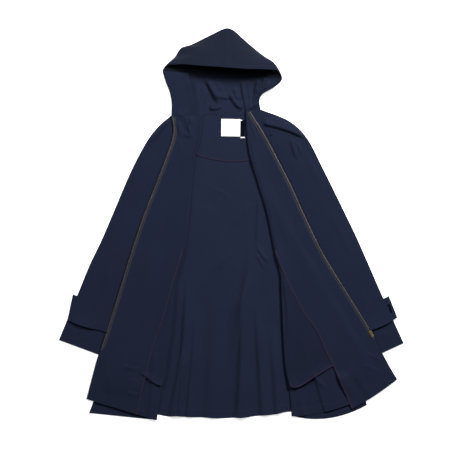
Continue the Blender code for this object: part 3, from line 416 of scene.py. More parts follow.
def normals_of(points, quads):
    """Unit normals of a sheet, averaged over the faces round each point."""
    a, b, c, d = (points[quads[:, k]] for k in range(4))
    face = np.cross(c - a, d - b)
    out = np.zeros_like(points)
    for k in range(4):
        np.add.at(out, quads[:, k], face)
    return unit(out)


class Sheet:
    """A grid of points in metres, its kept cells and its unit normals."""

    def __init__(self, points, cells=None):
        self.grid = points
        self.rows, self.columns = points.shape[:2]
        self.cells = np.ones((self.rows - 1, self.columns - 1), bool) if cells is None else cells
        self.quads = faces_of(self.cells, self.columns)
        self.normals = normals_of(points.reshape(-1, 3), self.quads).reshape(points.shape)

    def inset(self, where, distance_mm, start=0.0, stop=1.0):
        """A line of points and normals at a distance in from one edge: low, high, first or last."""
        grid, normals = self.grid, self.normals
        if where in ("first", "last"):
            grid, normals = grid.transpose(1, 0, 2), normals.transpose(1, 0, 2)
        if where in ("high", "last"):
            grid, normals = grid[:, ::-1], normals[:, ::-1]
        lines, ups = [], []
        for k in range(int(start * (len(grid) - 1)), int(stop * (len(grid) - 1)) + 1):
            reach = reach_of(grid[k])
            lines.append(point_at(grid[k], reach, distance_mm * MM))
            ups.append(point_at(normals[k], reach, distance_mm * MM))
        return np.array(lines), unit(np.array(ups))


def build(name, points, faces, mat, nodes=(), uv=None, smooth=True):
    """One mesh piece on the coat's body, from points in metres and a list of faces."""
    mesh = bpy.data.meshes.new(name)
    mesh.from_pydata(np.asarray(points).tolist(), [], [tuple(f) for f in faces])
    mesh.update()
    if uv is not None:
        layer = mesh.uv_layers.new(name="cloth")
        corner = np.empty(len(mesh.loops), dtype=np.int32)
        mesh.loops.foreach_get("vertex_index", corner)
        layer.data.foreach_set("uv", np.asarray(uv, dtype=np.float32)[corner].ravel())
    mesh.materials.append(mat)
    made = bpy.data.objects.new(name, mesh)
    bpy.context.collection.objects.link(made)
    if smooth:
        mesh.polygons.foreach_set("use_smooth", [True] * len(mesh.polygons))
        mesh.set_sharp_from_angle(angle=math.radians(48))
    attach(made, "root")
    if nodes:
        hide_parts(*nodes)
    return made


def arc_uv(sheet):
    """Distances along and across a sheet, in metres, as its texture coordinates."""
    grid = sheet.grid
    wide = np.linalg.norm(np.diff(grid, axis=1), axis=2)
    along = np.linalg.norm(np.diff(grid, axis=0), axis=2)
    u = np.concatenate((np.zeros((sheet.rows, 1)), np.cumsum(wide, axis=1)), axis=1)
    u = u - u[:, -1:] / 2
    v = np.concatenate((np.zeros((1, sheet.columns)), np.cumsum(along, axis=0)), axis=0)
    v = np.repeat(v.mean(axis=1, keepdims=True), sheet.columns, axis=1)
    return np.stack((u, v), axis=-1).reshape(-1, 2)


def shell(name, sheet, mat, nodes=(), thick=CLOTH):
    """A closed thin wall of cloth on a sheet."""
    points = sheet.grid.reshape(-1, 3)
    half = sheet.normals.reshape(-1, 3) * thick * MM / 2
    count = len(points)
    quads = sheet.quads
    pairs = np.vstack([np.stack((quads[:, k], quads[:, (k + 1) % 4]), axis=1) for k in range(4)])
    keys = pairs[:, 0] * count + pairs[:, 1]
    back = pairs[:, 1] * count + pairs[:, 0]
    rim = pairs[~np.isin(keys, back)]
    rim_faces = np.stack((rim[:, 1], rim[:, 0], rim[:, 0] + count, rim[:, 1] + count), axis=1)
    faces = np.vstack((quads, quads[:, ::-1] + count, rim_faces))
    used = np.unique(faces)
    renumber = np.zeros(2 * count, dtype=int)
    renumber[used] = np.arange(len(used))
    both = np.vstack((points + half, points - half))[used]
    uv = np.vstack((arc_uv(sheet), arc_uv(sheet)))[used]
    return build(name, both, renumber[faces].tolist(), mat, nodes, uv)


def stitch_piece(name, lines, mat, pitch=3.0, length=2.1, width=0.5, height=0.28, lift=None):
    """Rows of short raised stitches along lines of points and normals."""
    lift = CLOTH / 2 if lift is None else lift
    points, faces = [], []
    for line, up in lines:
        reach = reach_of(line)
        for s in np.arange(pitch, reach[-1] / MM - pitch, pitch) * MM:
            a, b = (point_at(line, reach, s + k * length * MM / 2) for k in (-1, 1))
            n = unit(point_at(up, reach, s))
            out = unit(np.cross(n, b - a)) * width * MM / 2
            way = unit(b - a) * width * MM / 2
            low, top = n * (lift - 0.05) * MM, n * (lift + height) * MM
            k = len(points)
            points += [a + out + low, a - out + low, b - out + low, b + out + low]
            points += [a + way + top, b - way + top]
            faces += [(k + 3, k + 2, k + 1, k), (k, k + 1, k + 4), (k + 2, k + 3, k + 5)]
            faces += [(k + 1, k + 2, k + 5, k + 4), (k + 3, k, k + 4, k + 5)]
    return build(name, points, faces, mat)


# ---------------------------------------------------------------- materials

class Nodes:
    """A material's node tree, with short calls for its nodes and links."""

    def __init__(self, name, colour, roughness, metallic=0.0):
        self.mat = bpy.data.materials.new(name)
        self.mat.use_nodes = True
        self.tree = self.mat.node_tree
        self.shader = self.tree.nodes["Principled BSDF"]
        self.shader.inputs["Base Color"].default_value = (*colour, 1.0)
        self.shader.inputs["Roughness"].default_value = roughness
        self.shader.inputs["Metallic"].default_value = metallic

    def node(self, kind, **values):
        """A node with its named settings and input values."""
        made = self.tree.nodes.new(kind)
        for key, value in values.items():
            if key in made.inputs:
                made.inputs[key].default_value = value
            else:
                setattr(made, key, value)
        return made

    def link(self, out, into):
        """Join an output to an input."""
        self.tree.links.new(out, into)

    def maths(self, operation, a, b):
        """The result of one sum on two outputs or numbers."""
        made = self.node("ShaderNodeMath", operation=operation)
        for k, value in enumerate((a, b)):
            if isinstance(value, (int, float)):
                made.inputs[k].default_value = value
            else:
                self.link(value, made.inputs[k])
        return made.outputs[0]

    def clamped(self, value, times):
        """A value times a number, kept between 0 and 1."""
        made = self.maths("MULTIPLY", value, times)
        made.node.use_clamp = True
        return made

    def blend(self, factor, first, second):
        """A colour between two colours or outputs."""
        made = self.node("ShaderNodeMix", data_type="RGBA")
        self.link(factor, made.inputs[0])
        for k, value in ((6, first), (7, second)):
            if isinstance(value, tuple):
                made.inputs[k].default_value = (*value, 1.0)
            else:
                self.link(value, made.inputs[k])
        return made.outputs[2]

    def noise(self, scale, detail=2.0, rough=0.5):
        """Noise over the piece's own coordinates, in waves per metre."""
        at = self.node("ShaderNodeTexCoord")
        made = self.node("ShaderNodeTexNoise", Scale=scale, Detail=detail, Roughness=rough)
        self.link(at.outputs["Object"], made.inputs["Vector"])
        return made.outputs[0]

    def threads(self, pitch_mm):
        """The weave's height: over and under of warp and weft pitch_mm apart."""
        at = self.node("ShaderNodeUVMap", uv_map="cloth")
        scale = math.pi / 10 / (2 * pitch_mm * MM)
        waves = []
        for way in ("X", "Y"):
            wave = self.node("ShaderNodeTexWave", wave_type="BANDS", bands_direction=way, Scale=scale)
            self.link(at.outputs[0], wave.inputs["Vector"])
            waves.append(wave.outputs["Fac"])
        crossed = self.maths("SUBTRACT", waves[0], waves[1])
        return self.maths("ABSOLUTE", crossed, 0.0)

    def bump(self, height, distance_mm, strength, onto=None):
        """Bump from a height, on top of an earlier bump."""
        made = self.node("ShaderNodeBump", Strength=strength, Distance=distance_mm * MM)
        self.link(height, made.inputs["Height"])
        if onto is not None:
            self.link(onto, made.inputs["Normal"])
        return made.outputs[0]

    def finish(self, colour=None, normal=None, roughness=None):
        """Join colour, normal and roughness to the shader and return the material."""
        for socket, value in (("Base Color", colour), ("Normal", normal), ("Roughness", roughness)):
            if value is not None:
                self.link(value, self.shader.inputs[socket])
        return self.mat


def woven(name, colour, thread_mm=0.45, sheen=0.03, crumple=0.35, spread=0.14, weave=0.3, painted_shade_bands=()):
    """Dry woven cotton cloth: threads, a faint crumple, uneven dyeing and bands of painted shade.

    A band of painted shade has the place across the hood where it starts, where it is full, how strong
    it is and where it ends, if it does; places follow the brim, which slopes across the hood.
    """
    n = Nodes(name, colour, 0.85)
    n.shader.inputs["Sheen Weight"].default_value = sheen
    n.shader.inputs["Sheen Roughness"].default_value = 0.55
    n.shader.inputs["Specular IOR Level"].default_value = 0.07
    threads = n.threads(thread_mm)
    dark = tuple(c * (1 - spread) for c in colour)
    light = tuple(c * (1 + spread) for c in colour)
    dyed = n.blend(n.noise(9.0, 3.0, 0.6), dark, light)
    worn = n.blend(n.maths("MULTIPLY", threads, 0.25), dyed, tuple(c * 0.6 for c in colour))
    slub = n.noise(420.0, 2.0, 0.6)
    shade = n.blend(n.maths("MULTIPLY", slub, 0.2), worn, tuple(c * 1.4 for c in colour))
    ridged = n.maths("ABSOLUTE", n.maths("SUBTRACT", n.noise(16.0, 4.0, 0.5), 0.5), 0.0)
    soft = n.bump(ridged, 3.0, crumple)
    fine = n.bump(n.noise(120.0, 3.0, 0.6), 0.5, 0.3, soft)
    normal = n.bump(threads, 0.12, weave, fine)
    rough = n.maths("ADD", n.maths("MULTIPLY", slub, 0.12), 0.76)
    # Each band blends the colour toward a tenth of itself: painted shade.
    for start, full, amount, ends in painted_shade_bands:
        apart = n.node("ShaderNodeSeparateXYZ")
        n.link(n.node("ShaderNodeTexCoord").outputs["Object"], apart.inputs[0])
        level = n.maths("ADD", apart.outputs["Y"], n.maths("MULTIPLY", apart.outputs["X"], BRIM_SLOPE))
        part = n.clamped(n.maths("SUBTRACT", level, start), 1 / (full - start))
        if ends:
            part = n.maths("MULTIPLY", part, n.clamped(n.maths("SUBTRACT", ends, level), 1 / PAINTED_SHADE_FADE))
        shade = n.blend(n.maths("MULTIPLY", part, amount), shade, tuple(c * 0.1 for c in colour))
    return n.finish(shade, normal, rough)


def tape_cloth(name, colour, rib_mm=1.0, spread=0.2, sheen=0.1, gloss=0.25):
    """Ribbed woven tape."""
    n = Nodes(name, colour, 0.8)
    n.shader.inputs["Sheen Weight"].default_value = sheen
    n.shader.inputs["Specular IOR Level"].default_value = gloss
    at = n.node("ShaderNodeUVMap", uv_map="cloth")
    scale = math.pi / 10 / (rib_mm * MM)
    wave = n.node("ShaderNodeTexWave", wave_type="BANDS", bands_direction="Y", Scale=scale)
    n.link(at.outputs[0], wave.inputs["Vector"])
    low, high = tuple(c * (1 - spread) for c in colour), tuple(c * (1 + spread) for c in colour)
    uneven = n.blend(n.noise(60.0, 3.0, 0.6), low, high)
    colour_out = n.blend(n.maths("MULTIPLY", wave.outputs["Fac"], 0.3), uneven, low)
    normal = n.bump(wave.outputs["Fac"], 0.25, 0.5, n.bump(n.noise(300.0), 0.3, 0.3))
    return n.finish(colour_out, normal)


def metal(name, colour, tarnish, roughness, metallic=1.0):
    """Tumbled metal, darker where it is tarnished."""
    n = Nodes(name, colour, roughness, metallic)
    patches = n.noise(180.0, 4.0, 0.65)
    shade = n.blend(patches, tarnish, colour)
    rough = n.maths("ADD", n.maths("MULTIPLY", patches, 0.2), roughness - 0.1)
    return n.finish(shade, n.bump(n.noise(900.0, 2.0), 0.05, 0.3), rough)


# Painted shade on the crown, against the light its slope catches, and a painted shadow in the hollow under
# the brim, in metres, and the brim's slope.
CROWN_PAINTED_SHADE = (0.42, 0.45, 0.42, None)
HOLLOW_PAINTED_SHADOW = (0.388, 0.426, 0.74, 0.446)
BRIM_SLOPE, PAINTED_SHADE_FADE = 0.062, 0.004

SHELL = woven("navy_cloth", (0.0058, 0.0089, 0.0224))
INSIDE = woven("navy_cloth_inside", (0.0059, 0.0090, 0.0228), crumple=0.3)
BACK_CLOTH = woven("navy_cloth_back", (0.0066, 0.0102, 0.0248), crumple=0.3)
BAG_CLOTH = woven("navy_cloth_bag", (0.0050, 0.0075, 0.0200), crumple=0.3)
# The hood's cloth carries the painted shade on the crown and the painted shadow in the hollow under the brim.
HOOD_CLOTH = woven("navy_cloth_hood", (0.0066, 0.0101, 0.0246), crumple=0.45, painted_shade_bands=(CROWN_PAINTED_SHADE, HOLLOW_PAINTED_SHADOW))
MAROON = tape_cloth("maroon_binding", (0.0142, 0.0112, 0.0262), 0.7, sheen=0.02, gloss=0.08)
# A lighter tape for the right strap's outer end: a painted highlight where the edge catches light.
STRAP_END_HIGHLIGHT = tape_cloth("painted_highlight_tape", (0.0215, 0.0245, 0.0520), 0.7)
TAPE = tape_cloth("zip_tape", (0.0085, 0.0105, 0.0195), 1.1)
# A very dark navy: the size tab's and the bar tack's own colour, and also the painted shade in the right
# strap's slot.
DARK_TAB_AND_SLOT_SHADE = tape_cloth("navy_tab_and_painted_slot_shade", (0.0016, 0.0024, 0.0062), 0.8, sheen=0.0, gloss=0.02)
THREAD = tape_cloth("navy_thread", (0.011, 0.015, 0.032), 0.6)
WHITE = tape_cloth("white_label", (0.86, 0.86, 0.85), 0.5, 0.03)
WHITE_THREAD = tape_cloth("white_thread", (0.75, 0.75, 0.74), 0.6, 0.05)
GILT = metal("brass_slider", (0.46, 0.34, 0.16), (0.20, 0.14, 0.07), 0.36)
BRASS = metal("antique_brass", (0.17, 0.15, 0.12), (0.05, 0.042, 0.034), 0.55)
STEEL = metal("nickel", (0.90, 0.90, 0.90), (0.75, 0.75, 0.76), 0.6, 0.2)


# ---------------------------------------------------------------- body of the coat

def ruled(a, b, u):
    """The x, y of straight rows from each point of a to each point of b."""
    return a[:, :1] + (b - a)[:, :1] * u, a[:, 1:] + (b - a)[:, 1:] * u


def make_back():
    """The back panel and its swing folds."""
    t = np.linspace(0, HEM, 190)
    u = np.concatenate((np.linspace(0, 0.22, 14, endpoint=False), np.linspace(0.22, 0.76, 108),
                        np.linspace(0.76, 1.0, 16)[1:]))
    x, y = ruled(edge("left", "seam", t), edge("right", "seam", t), u)
    x = x + 0.025 * (1 - 2 * u)
    hem = 0.22 * ease(t, 9.5, HEM)[:, None]
    y = y - hem_hang("back", u, t[:, None], 3) + hem * (ripple(x, 0 * x, 3.4, 91) + 0.3 * np.sin(x * 0.5))
    bare = ease(x, -21.0, -15.0) * (1 - ease(x, 15.5, 19.0))
    uneven = 0.6 + 0.7 * ripple(x, y, 8.0, 5) + 0.22 * ripple(x, y, 3.0, 6)
    under_yoke = 1 - ease(y, 16.0, 19.0)
    lift = (relief(x, y, BACK_FOLDS) + uneven * under_yoke) * (0.35 + 0.65 * bare)
    turned = 0.35 * ease(t, *HEM_STEP)[:, None]
    return Sheet(place(x, y, BACK_LEVEL + np.maximum(lift, -0.1) + turned))


def yoke_low(x):
    """The curved lower edge of the back's neck facing."""
    return 18.5 + 0.018 * (x - 0.5) ** 2


def neck_line(x):
    """The neck seam, which slopes a little across the coat."""
    return 32.2 + 0.07 * x


def yoke_relief(x, y):
    """Slight unevenness of the neck facing and the ridge of the neck seam above it."""
    ridge = 1.6 * np.exp(-(((neck_line(x) - 0.55 - y) / 0.42) ** 2))
    return 0.35 * ripple(x, y, 5.0, 8) + 0.4 + ridge * ease(x, -6.0, -3.0)


def make_yoke():
    """The back's neck facing."""
    v = down(0, 1, 60)
    u = across(0, 1, 100)
    x = (-12.4 - 3.6 * v) * (1 - u) + (6.4 + 5.2 * v) * u
    y = (neck_line(x) - 0.05) * (1 - v) + yoke_low(x) * v
    return Sheet(place(x, y, YOKE_LEVEL + yoke_relief(x, y)))


def make_yoke_binding():
    """The maroon binding along the neck facing's lower edge."""
    x = down(-15.6, 11.4, 110)
    drop = across(0, 1, 7)
    y = yoke_low(x) - 0.05 - drop * BINDING_WIDTH
    rounded = 0.35 * np.sin(math.pi * drop)
    return Sheet(place(x, y, YOKE_LEVEL + yoke_relief(x, y) + rounded))


def hairpin(start, turn, end, z_start, z_end, under_n, loop_n, over_n):
    """Rows of cloth that run in from start, turn over at the fold and come back.

    Returns x, y, z grids, how far round the turn each column is, and how far past it.
    """
    radius = ((z_end - z_start) / 2 * MM / CM)[:, None]
    into = unit(turn - start)
    centre = turn - into * radius
    columns, heights, over = [], [], []
    for u in np.linspace(0, 1, under_n, endpoint=False):
        columns.append(start + (centre - start) * u)
        heights.append(z_start)
        over.append(0.0)
    for angle in np.linspace(-math.pi / 2, math.pi / 2, loop_n):
        columns.append(centre + into * radius * math.cos(angle))
        heights.append((z_start + z_end) / 2 + (z_end - z_start) / 2 * math.sin(angle))
        over.append(0.5 + 0.5 * math.sin(angle))
    for u in np.linspace(0, 1, over_n + 1)[1:]:
        columns.append(centre + (end - centre) * u)
        heights.append(z_end)
        over.append(1.0)
    plan = np.stack(columns, axis=1)
    return plan[..., 0], plan[..., 1], np.stack(heights, axis=1), np.array(over)


def over_share(x, first):
    """How far each column from the first over the fold is from the fold to the end."""
    c = np.zeros(x.shape)
    c[:, first:] = np.linspace(0, 1, x.shape[1] - first + 1)[1:]
    return c


def make_front(side):
    """A front panel: from its seam in to the fold, then back over to the zip edge."""
    t = np.linspace(0, HEM, 200)
    seam, fold, free = (edge(side, column, t) for column in ("seam", "fold", "zip"))
    seam = seam + np.array((-SIGN[side] * 0.05, 0.0))
    free = free + unit(fold - free) * FRONT_EDGE_INSET
    low = under_level(seam[:, 1])
    high = np.full_like(low, OVER_LEVEL + FOLD_ROLL)
    under_n, loop_n, over_n = 12, 11, 92
    x, y, z, over = hairpin(seam, fold, free, low, high, under_n, loop_n, over_n)
    first = under_n + loop_n
    c = over_share(x, first)
    z[:, first:] = over_level(side, t[:, None], c)[:, first:]
    u = np.zeros(x.shape)
    u[:, :under_n] = np.linspace(0, 1, under_n, endpoint=False)
    t = np.repeat(t[:, None], x.shape[1], axis=1)
    y = y - hem_hang(side + "_over", c, t) - hem_hang(side + "_under", u, t)
    z = z + (front_relief(side, x, y) - 4.6 * lower_step(side, x, y)) * over
    z[:, :under_n] += 0.3 * ripple(x, y, 6.0, 31)[:, :under_n]
    return Sheet(place(x, y, z + 0.35 * ease(t, *HEM_STEP) * over))


def sleeve_relief(side, x, y, c):
    """Unevenness of a sleeve's upper ply, fading out towards its seam."""
    folds, seed = (LEFT_SLEEVE_FOLDS, 41) if side == "left" else (RIGHT_SLEEVE_FOLDS, 51)
    uneven = 0.6 * ripple(x, y, 7.0, seed) + 0.2 * ripple(x, y, 2.6, seed + 1) + 0.3
    top = 1.0 if side == "right" else 0.6
    tame = np.where(y > 20.0, top, 1 - ease(c, 0.55, 1.0))
    return (relief(x, y, folds) + uneven) * tame


def make_sleeve(side):
    """A raglan sleeve, open at the cuff: back ply, fold at the outer edge, front ply."""
    t = np.linspace(0, CUFF, 160)
    seam, arm = edge(side, "seam", t), edge(side, "arm", t)
    inner = seam - unit(arm - seam) * 0.35
    low = np.full(len(t), BACK_LEVEL)
    high = np.full(len(t), SLEEVE_EDGE_LEVEL)
    under_n, loop_n, over_n = 12, 9, 56
    x, y, z, over = hairpin(inner, arm, inner, low, high, under_n, loop_n, over_n)
    first = under_n + loop_n
    c = over_share(x, first)
    puff = SLEEVE_PUFF_LEVEL + (SLEEVE_CUFF_LEVEL - SLEEVE_PUFF_LEVEL) * ease(t, 6.0, 7.0)[:, None]
    rise = ease(t, 0.0, 1.0)[:, None]
    top = (SLEEVE_EDGE_LEVEL * (1 - c) + under_level(y) * c
           + (puff - SLEEVE_EDGE_LEVEL) * np.sin(math.pi * c) * rise)
    z[:, first:] = top[:, first:]
    z = z + sleeve_relief(side, x, y, c) * over * ease(c, -0.02, 0.06)
    turned = 0.3 * ease(t, *CUFF_STEP)[:, None] * over - 1.0 * ease(c, 0.93, 0.97)
    return Sheet(place(x, y, z + turned))


def facing_rise(t, c, side):
    """How far the front facing stands over the folded-over ply, higher on the pocket bag."""
    on_bag = ease(t, 4.6, 5.3) * (1 - ease(c, 0.55, 0.8)) * (1 - ease(t, 9.9, 10.4))
    if side == "right":
        lifted = 7.0 * ease(t, 9.6, 9.95) * (1 - ease(t, 10.1, 10.7)) * (1 - ease(c, 0.0, 0.3))
    else:
        lifted = 0.0
    return FACING_RISE + (FACING_RISE_ON_BAG - FACING_RISE) * on_bag + lifted


def make_facing(side):
    """A front facing, from its bound edge to the zip tape."""
    t = down(FACING_START[side], HEM, 190)
    c = across(0, 1, 46)
    bound, free = edge(side, "bound", t), edge(side, "zip", t)
    beside_tape = (TAPE_WIDTH + TRIM_GAP - 0.3) * (1 - ease(t, 8.1, 8.45)) + 0.12
    stop = free - unit(free - bound) * beside_tape[..., None]
    plan = bound + (stop - bound) * c[..., None]
    t = np.repeat(t, c.shape[1], axis=1)
    return Sheet(over_points(side, t, plan[..., 0], plan[..., 1], facing_rise(t, c, side)))


def make_binding(side):
    """The maroon binding on the facing's free edge."""
    t = down(BINDING_START, HEM, 190)
    out = across(0, 1, 7)
    bound, free = edge(side, "bound", t), edge(side, "zip", t)
    away = TRIM_GAP * 0.3 + BINDING_WIDTH * out
    plan = bound - unit(free - bound) * away[..., None]
    t = np.repeat(t, out.shape[1], axis=1)
    rise = facing_rise(t, 0.0, side) + 0.35 * np.sin(math.pi * out) + 0.1
    return Sheet(over_points(side, t, plan[..., 0], plan[..., 1], rise))


def zip_line(side, t, back, rise):
    """Points of the zip, back centimetres in from the front edge."""
    bound, free = edge(side, "bound", t), edge(side, "zip", t)
    plan = free - unit(free - bound) * np.asarray(back)[..., None]
    return over_points(side, t, plan[..., 0], plan[..., 1], rise)


def make_tape(side):
    """One side's zip tape."""
    t = down(0.1, TAPE_END, 200)
    back = across(TAPE_WIDTH, 0.0, 9)
    t = np.repeat(t, 9, axis=1)
    cord = 0.5 * np.exp(-(((back - CHAIN_WIDTH) / 0.12) ** 2))
    return Sheet(zip_line(side, t, back + 0 * t, TAPE_RISE + cord))


def make_teeth(side):
    """The row of brass teeth on one side of the zip."""
    t = np.linspace(0.1, ZIP_END, 900)
    line = zip_line(side, t, np.full(len(t), CHAIN_WIDTH / 2 + 0.02), CHAIN_RISE)
    reach = reach_of(line)
    shape = ((-1.9, 0.0), (-1.7, 0.9), (-0.5, 1.2), (0.8, 1.2), (1.5, 0.8), (2.2, 0.25), (2.2, -0.2))
    n = len(shape)
    points, faces = [], []
    for s in np.arange(TOOTH_START * MM, reach[-1] - TOOTH_START * MM, TOOTH_PITCH * MM):
        at, ahead = (point_at(line, reach, d) for d in (s, s + 0.5 * MM))
        way = unit(ahead - at)
        out = unit(np.cross(way, (0.0, 0.0, 1.0))) * SIGN[side]
        up = np.cross(out, way)
        up = up * (1 if up[2] > 0 else -1)
        k = len(points)
        for half in (-TOOTH_HALF, TOOTH_HALF):
            for wide, high in shape:
                points.append(at + (out * (0.78 * wide + 0.25) + up * (high - 0.35) + way * half) * MM)
        faces += [tuple(range(k + n - 1, k - 1, -1)), tuple(range(k + n, k + 2 * n))]
        faces += [(k + j, k + (j + 1) % n, k + n + (j + 1) % n, k + n + j) for j in range(n)]
    made = build(side + "_zip_teeth", points, faces, BRASS, ("zip_chain_" + side,), smooth=False)
    fix = bmesh.new()
    fix.from_mesh(made.data)
    bmesh.ops.recalc_face_normals(fix, faces=fix.faces[:])
    fix.to_mesh(made.data)
    fix.free()
    return made


def make_bag(side):
    """A loose two-ply pocket bag lying on the folded-over ply, partly under the facing."""
    t = np.linspace(0, 4, 110)
    u = np.linspace(0, 1, 46)
    loose, hidden = (smooth_rows([row[k] for row in BAGS[side]], t) for k in (1, 2))
    x, y = ruled(loose, hidden, u)
    soft = 0.6 * np.sin(math.pi * np.clip(u * 1.6, 0, 1)) * ease(t, 0.0, 0.8)[:, None]
    width = np.linalg.norm(hidden - loose, axis=1)[:, None]
    roll = FOLD_ROLL * np.exp(-((u * width / FOLD_ROLL_REACH) ** 2))
    down = ease(t, 2.6, 4.0)[:, None]
    bow = (1.7 if side == "right" else 0.6) * (u / 0.18) * np.exp(1 - u / 0.18)
    stand = 3.2 * ease(t, 3.3, 4.0)[:, None] * (1 - ease(u, 0.55, 0.85))
    if side == "right":
        soft = soft + relief(x, y, BAG_FOLDS)
    y = y - bow * down
    return Sheet(place(x, y, BAG_LEVEL + front_relief(side, x, y) + soft + roll + stand))


def edge_tape(sheet, where, width_mm, start=0.0, stop=1.0, lift=0.9):
    """A narrow tape that wraps one edge of a sheet."""
    rows = [sheet.inset(where, d, start, stop) for d in np.linspace(0.0, width_mm, 5)]
    lines = np.stack([line + up * lift * MM for line, up in rows], axis=0)
    wrap = rows[0][0] - rows[0][1] * lift * MM
    outward = unit(rows[0][0] - rows[1][0]) * 0.5 * MM
    return Sheet(np.concatenate((wrap[None] + outward[None], lines[:1] + outward[None], lines), axis=0))


# ---------------------------------------------------------------- hood

def hood_rim(side, t):
    """The x, y and height of one side of the hood at row numbers t."""
    return smooth_rows([row[1 if side == "left" else 2] for row in HOOD], t)


def hood_spine(t):
    """Where the middle of the hood's back strip lies at row numbers t."""
    return smooth_rows([row[3] for row in HOOD], t)[..., 0]


def hood_line_y(t, x):
    """Where the hood's row number t lies at x."""
    left, right = hood_rim("left", t), hood_rim("right", t)
    return left[..., 1] + (right[..., 1] - left[..., 1]) * (x - left[..., 0]) / (right[..., 0] - left[..., 0])


def hood_middle_y(t):
    """Where row number t of the crown crosses the top strip."""
    left, right = hood_rim("left", t), hood_rim("right", t)
    return (left[..., 1] + right[..., 1]) / 2 + 1.5 * (1 - ease(t, BRIM_ROW, 7.0))


def crown_top(t):
    """Height of the crown's middle at row numbers t: an even slope from the brim to the peak."""
    fall = CROWN_AT_PEAK_MM - CROWN_AT_BRIM_MM
    first, last = (hood_middle_y(np.array(float(row))) for row in (BRIM_ROW, PEAK_ROW))
    return CROWN_AT_BRIM_MM + fall * np.clip((hood_middle_y(t) - first) / (last - first), 0.0, 1.0)


def crown_y(side, t, c):
    """Where the crown's upper sheet lies, c of the way from the side to the top strip."""
    def row(at):
        rim = hood_rim(side, at)
        return rim[..., 0], rim[..., 1] + (hood_middle_y(at) - rim[..., 1]) * ease(c, 0.0, 1.0)
    rim_x, brim_row = row(np.full_like(t, BRIM_ROW))
    stop = CROWN_STRIP_X + SIGN[side] * HOOD_SIDE_START
    pull = brim_y(rim_x + (stop - rim_x) * c) - brim_row
    return row(t)[1] + pull * (1 - ease(t, BRIM_ROW, BRIM_FADED))


def brim_y(x):
    """The brim's edge in plan."""
    rows = np.array(BRIM)
    return np.interp(x, rows[:, 0], rows[:, 1])


def hood_low_height(side, t, c, x, y, rim_z):
    """Height of the hood's lower sheet: a trough, with the neck's folds and crumples."""
    lift = np.clip((c - 0.3) / 0.7, 0.0, 1.0) ** 1.5
    base = BACK_LEVEL + (rim_z - BACK_LEVEL) * lift
    base = base + 2.6 * (1 - ease(t, 0.2, 1.4)) * (1 - lift)
    smooth_side = 1 - 0.75 * ease(c, 0.7, 0.85)
    folds = relief(x, y, HOOD_FOLDS) * (1 - ease(t, 4.4, 5.2))
    uneven = 0.7 * ripple(x, y, 4.0, 61) + 0.45 * ripple(x, y, 1.7, 62) + 0.5
    crumple = 1.6 * np.abs(ripple(x, y, 2.3, 63)) * np.exp(-(x**2 / 60 + (y - 36.0) ** 2 / 12))
    if side == "left":
        flap = OVER_LEVEL + 0.75 + front_relief(side, x, y)
        on_flap = (1 - ease(x - 0.22 * (y - 31.3), -8.7, -7.9)) * (1 - ease(t, 1.2, 3.2))
        base = base + (np.maximum(base, flap) - base) * on_flap
        smooth_side = smooth_side * (1 - 0.6 * on_flap)
    return np.maximum(base + (folds + uneven + crumple) * smooth_side, 0.8 if side == "left" else 1.1)


def hood_low(side, t, c):
    """The hood's lower sheet, c of the way out from the back strip: row numbers, x, y and rim height."""
    rim = hood_rim(side, t)
    start = hood_spine(t) + SIGN[side] * HOOD_SIDE_START
    x = start + (rim[..., 0] - start) * c
    rows = np.repeat(t, c.shape[1], axis=1)
    return rows, x, hood_line_y(rows, x), rim[..., 2]


def crown_points(side, t, c, away):
    """The crown, c of the way from the side to away centimetres short of the top strip's middle."""
    rim = hood_rim(side, t)
    x = rim[..., 0] + (CROWN_STRIP_X + SIGN[side] * away - rim[..., 0]) * c
    top = crown_top(np.maximum(t, BRIM_ROW))
    return x, crown_y(side, t, c), rim[..., 2] + (top - rim[..., 2]) * np.sin(math.pi / 2 * c) ** 0.8


def make_hood_side(side):
    """A hood side: its sheet on the surface, its brim, and half of the crown above."""
    t = np.concatenate((np.linspace(0, BRIM_ROW, 66), np.linspace(BRIM_ROW, PEAK_ROW, 70)[1:]))[:, None]
    brim_row, low_n, top_n = 65, 62, 44
    c = across(0, 1, low_n)
    rows, x, y, rim_z = hood_low(side, t, c)
    z = hood_low_height(side, rows, c, x, y, rim_z)
    low = place(x, y - 0.35 * (1 - ease(rows, 0.0, 0.35)), z)
    c = (np.linspace(0, 1, top_n + 1)[1:] ** 1.15)[None, :]
    x, y, z = crown_points(side, t, c, HOOD_SIDE_START)
    uneven = relief(x, y, CROWN_FOLDS) + 0.8 * ripple(x, y, 5.0, 71) + 0.25 * ripple(x, y, 2.0, 72)
    grid = np.concatenate((low, place(x, y, z + uneven * ease(c, 0.0, 0.25))), axis=1)
    cells = np.ones((len(t) - 1, low_n + top_n - 1), bool)
    cells[:brim_row, low_n - 1:] = False
    crown = Sheet(grid[brim_row:, low_n - 1:])
    return Sheet(grid, cells), crown, Sheet(low[:brim_row + 1])


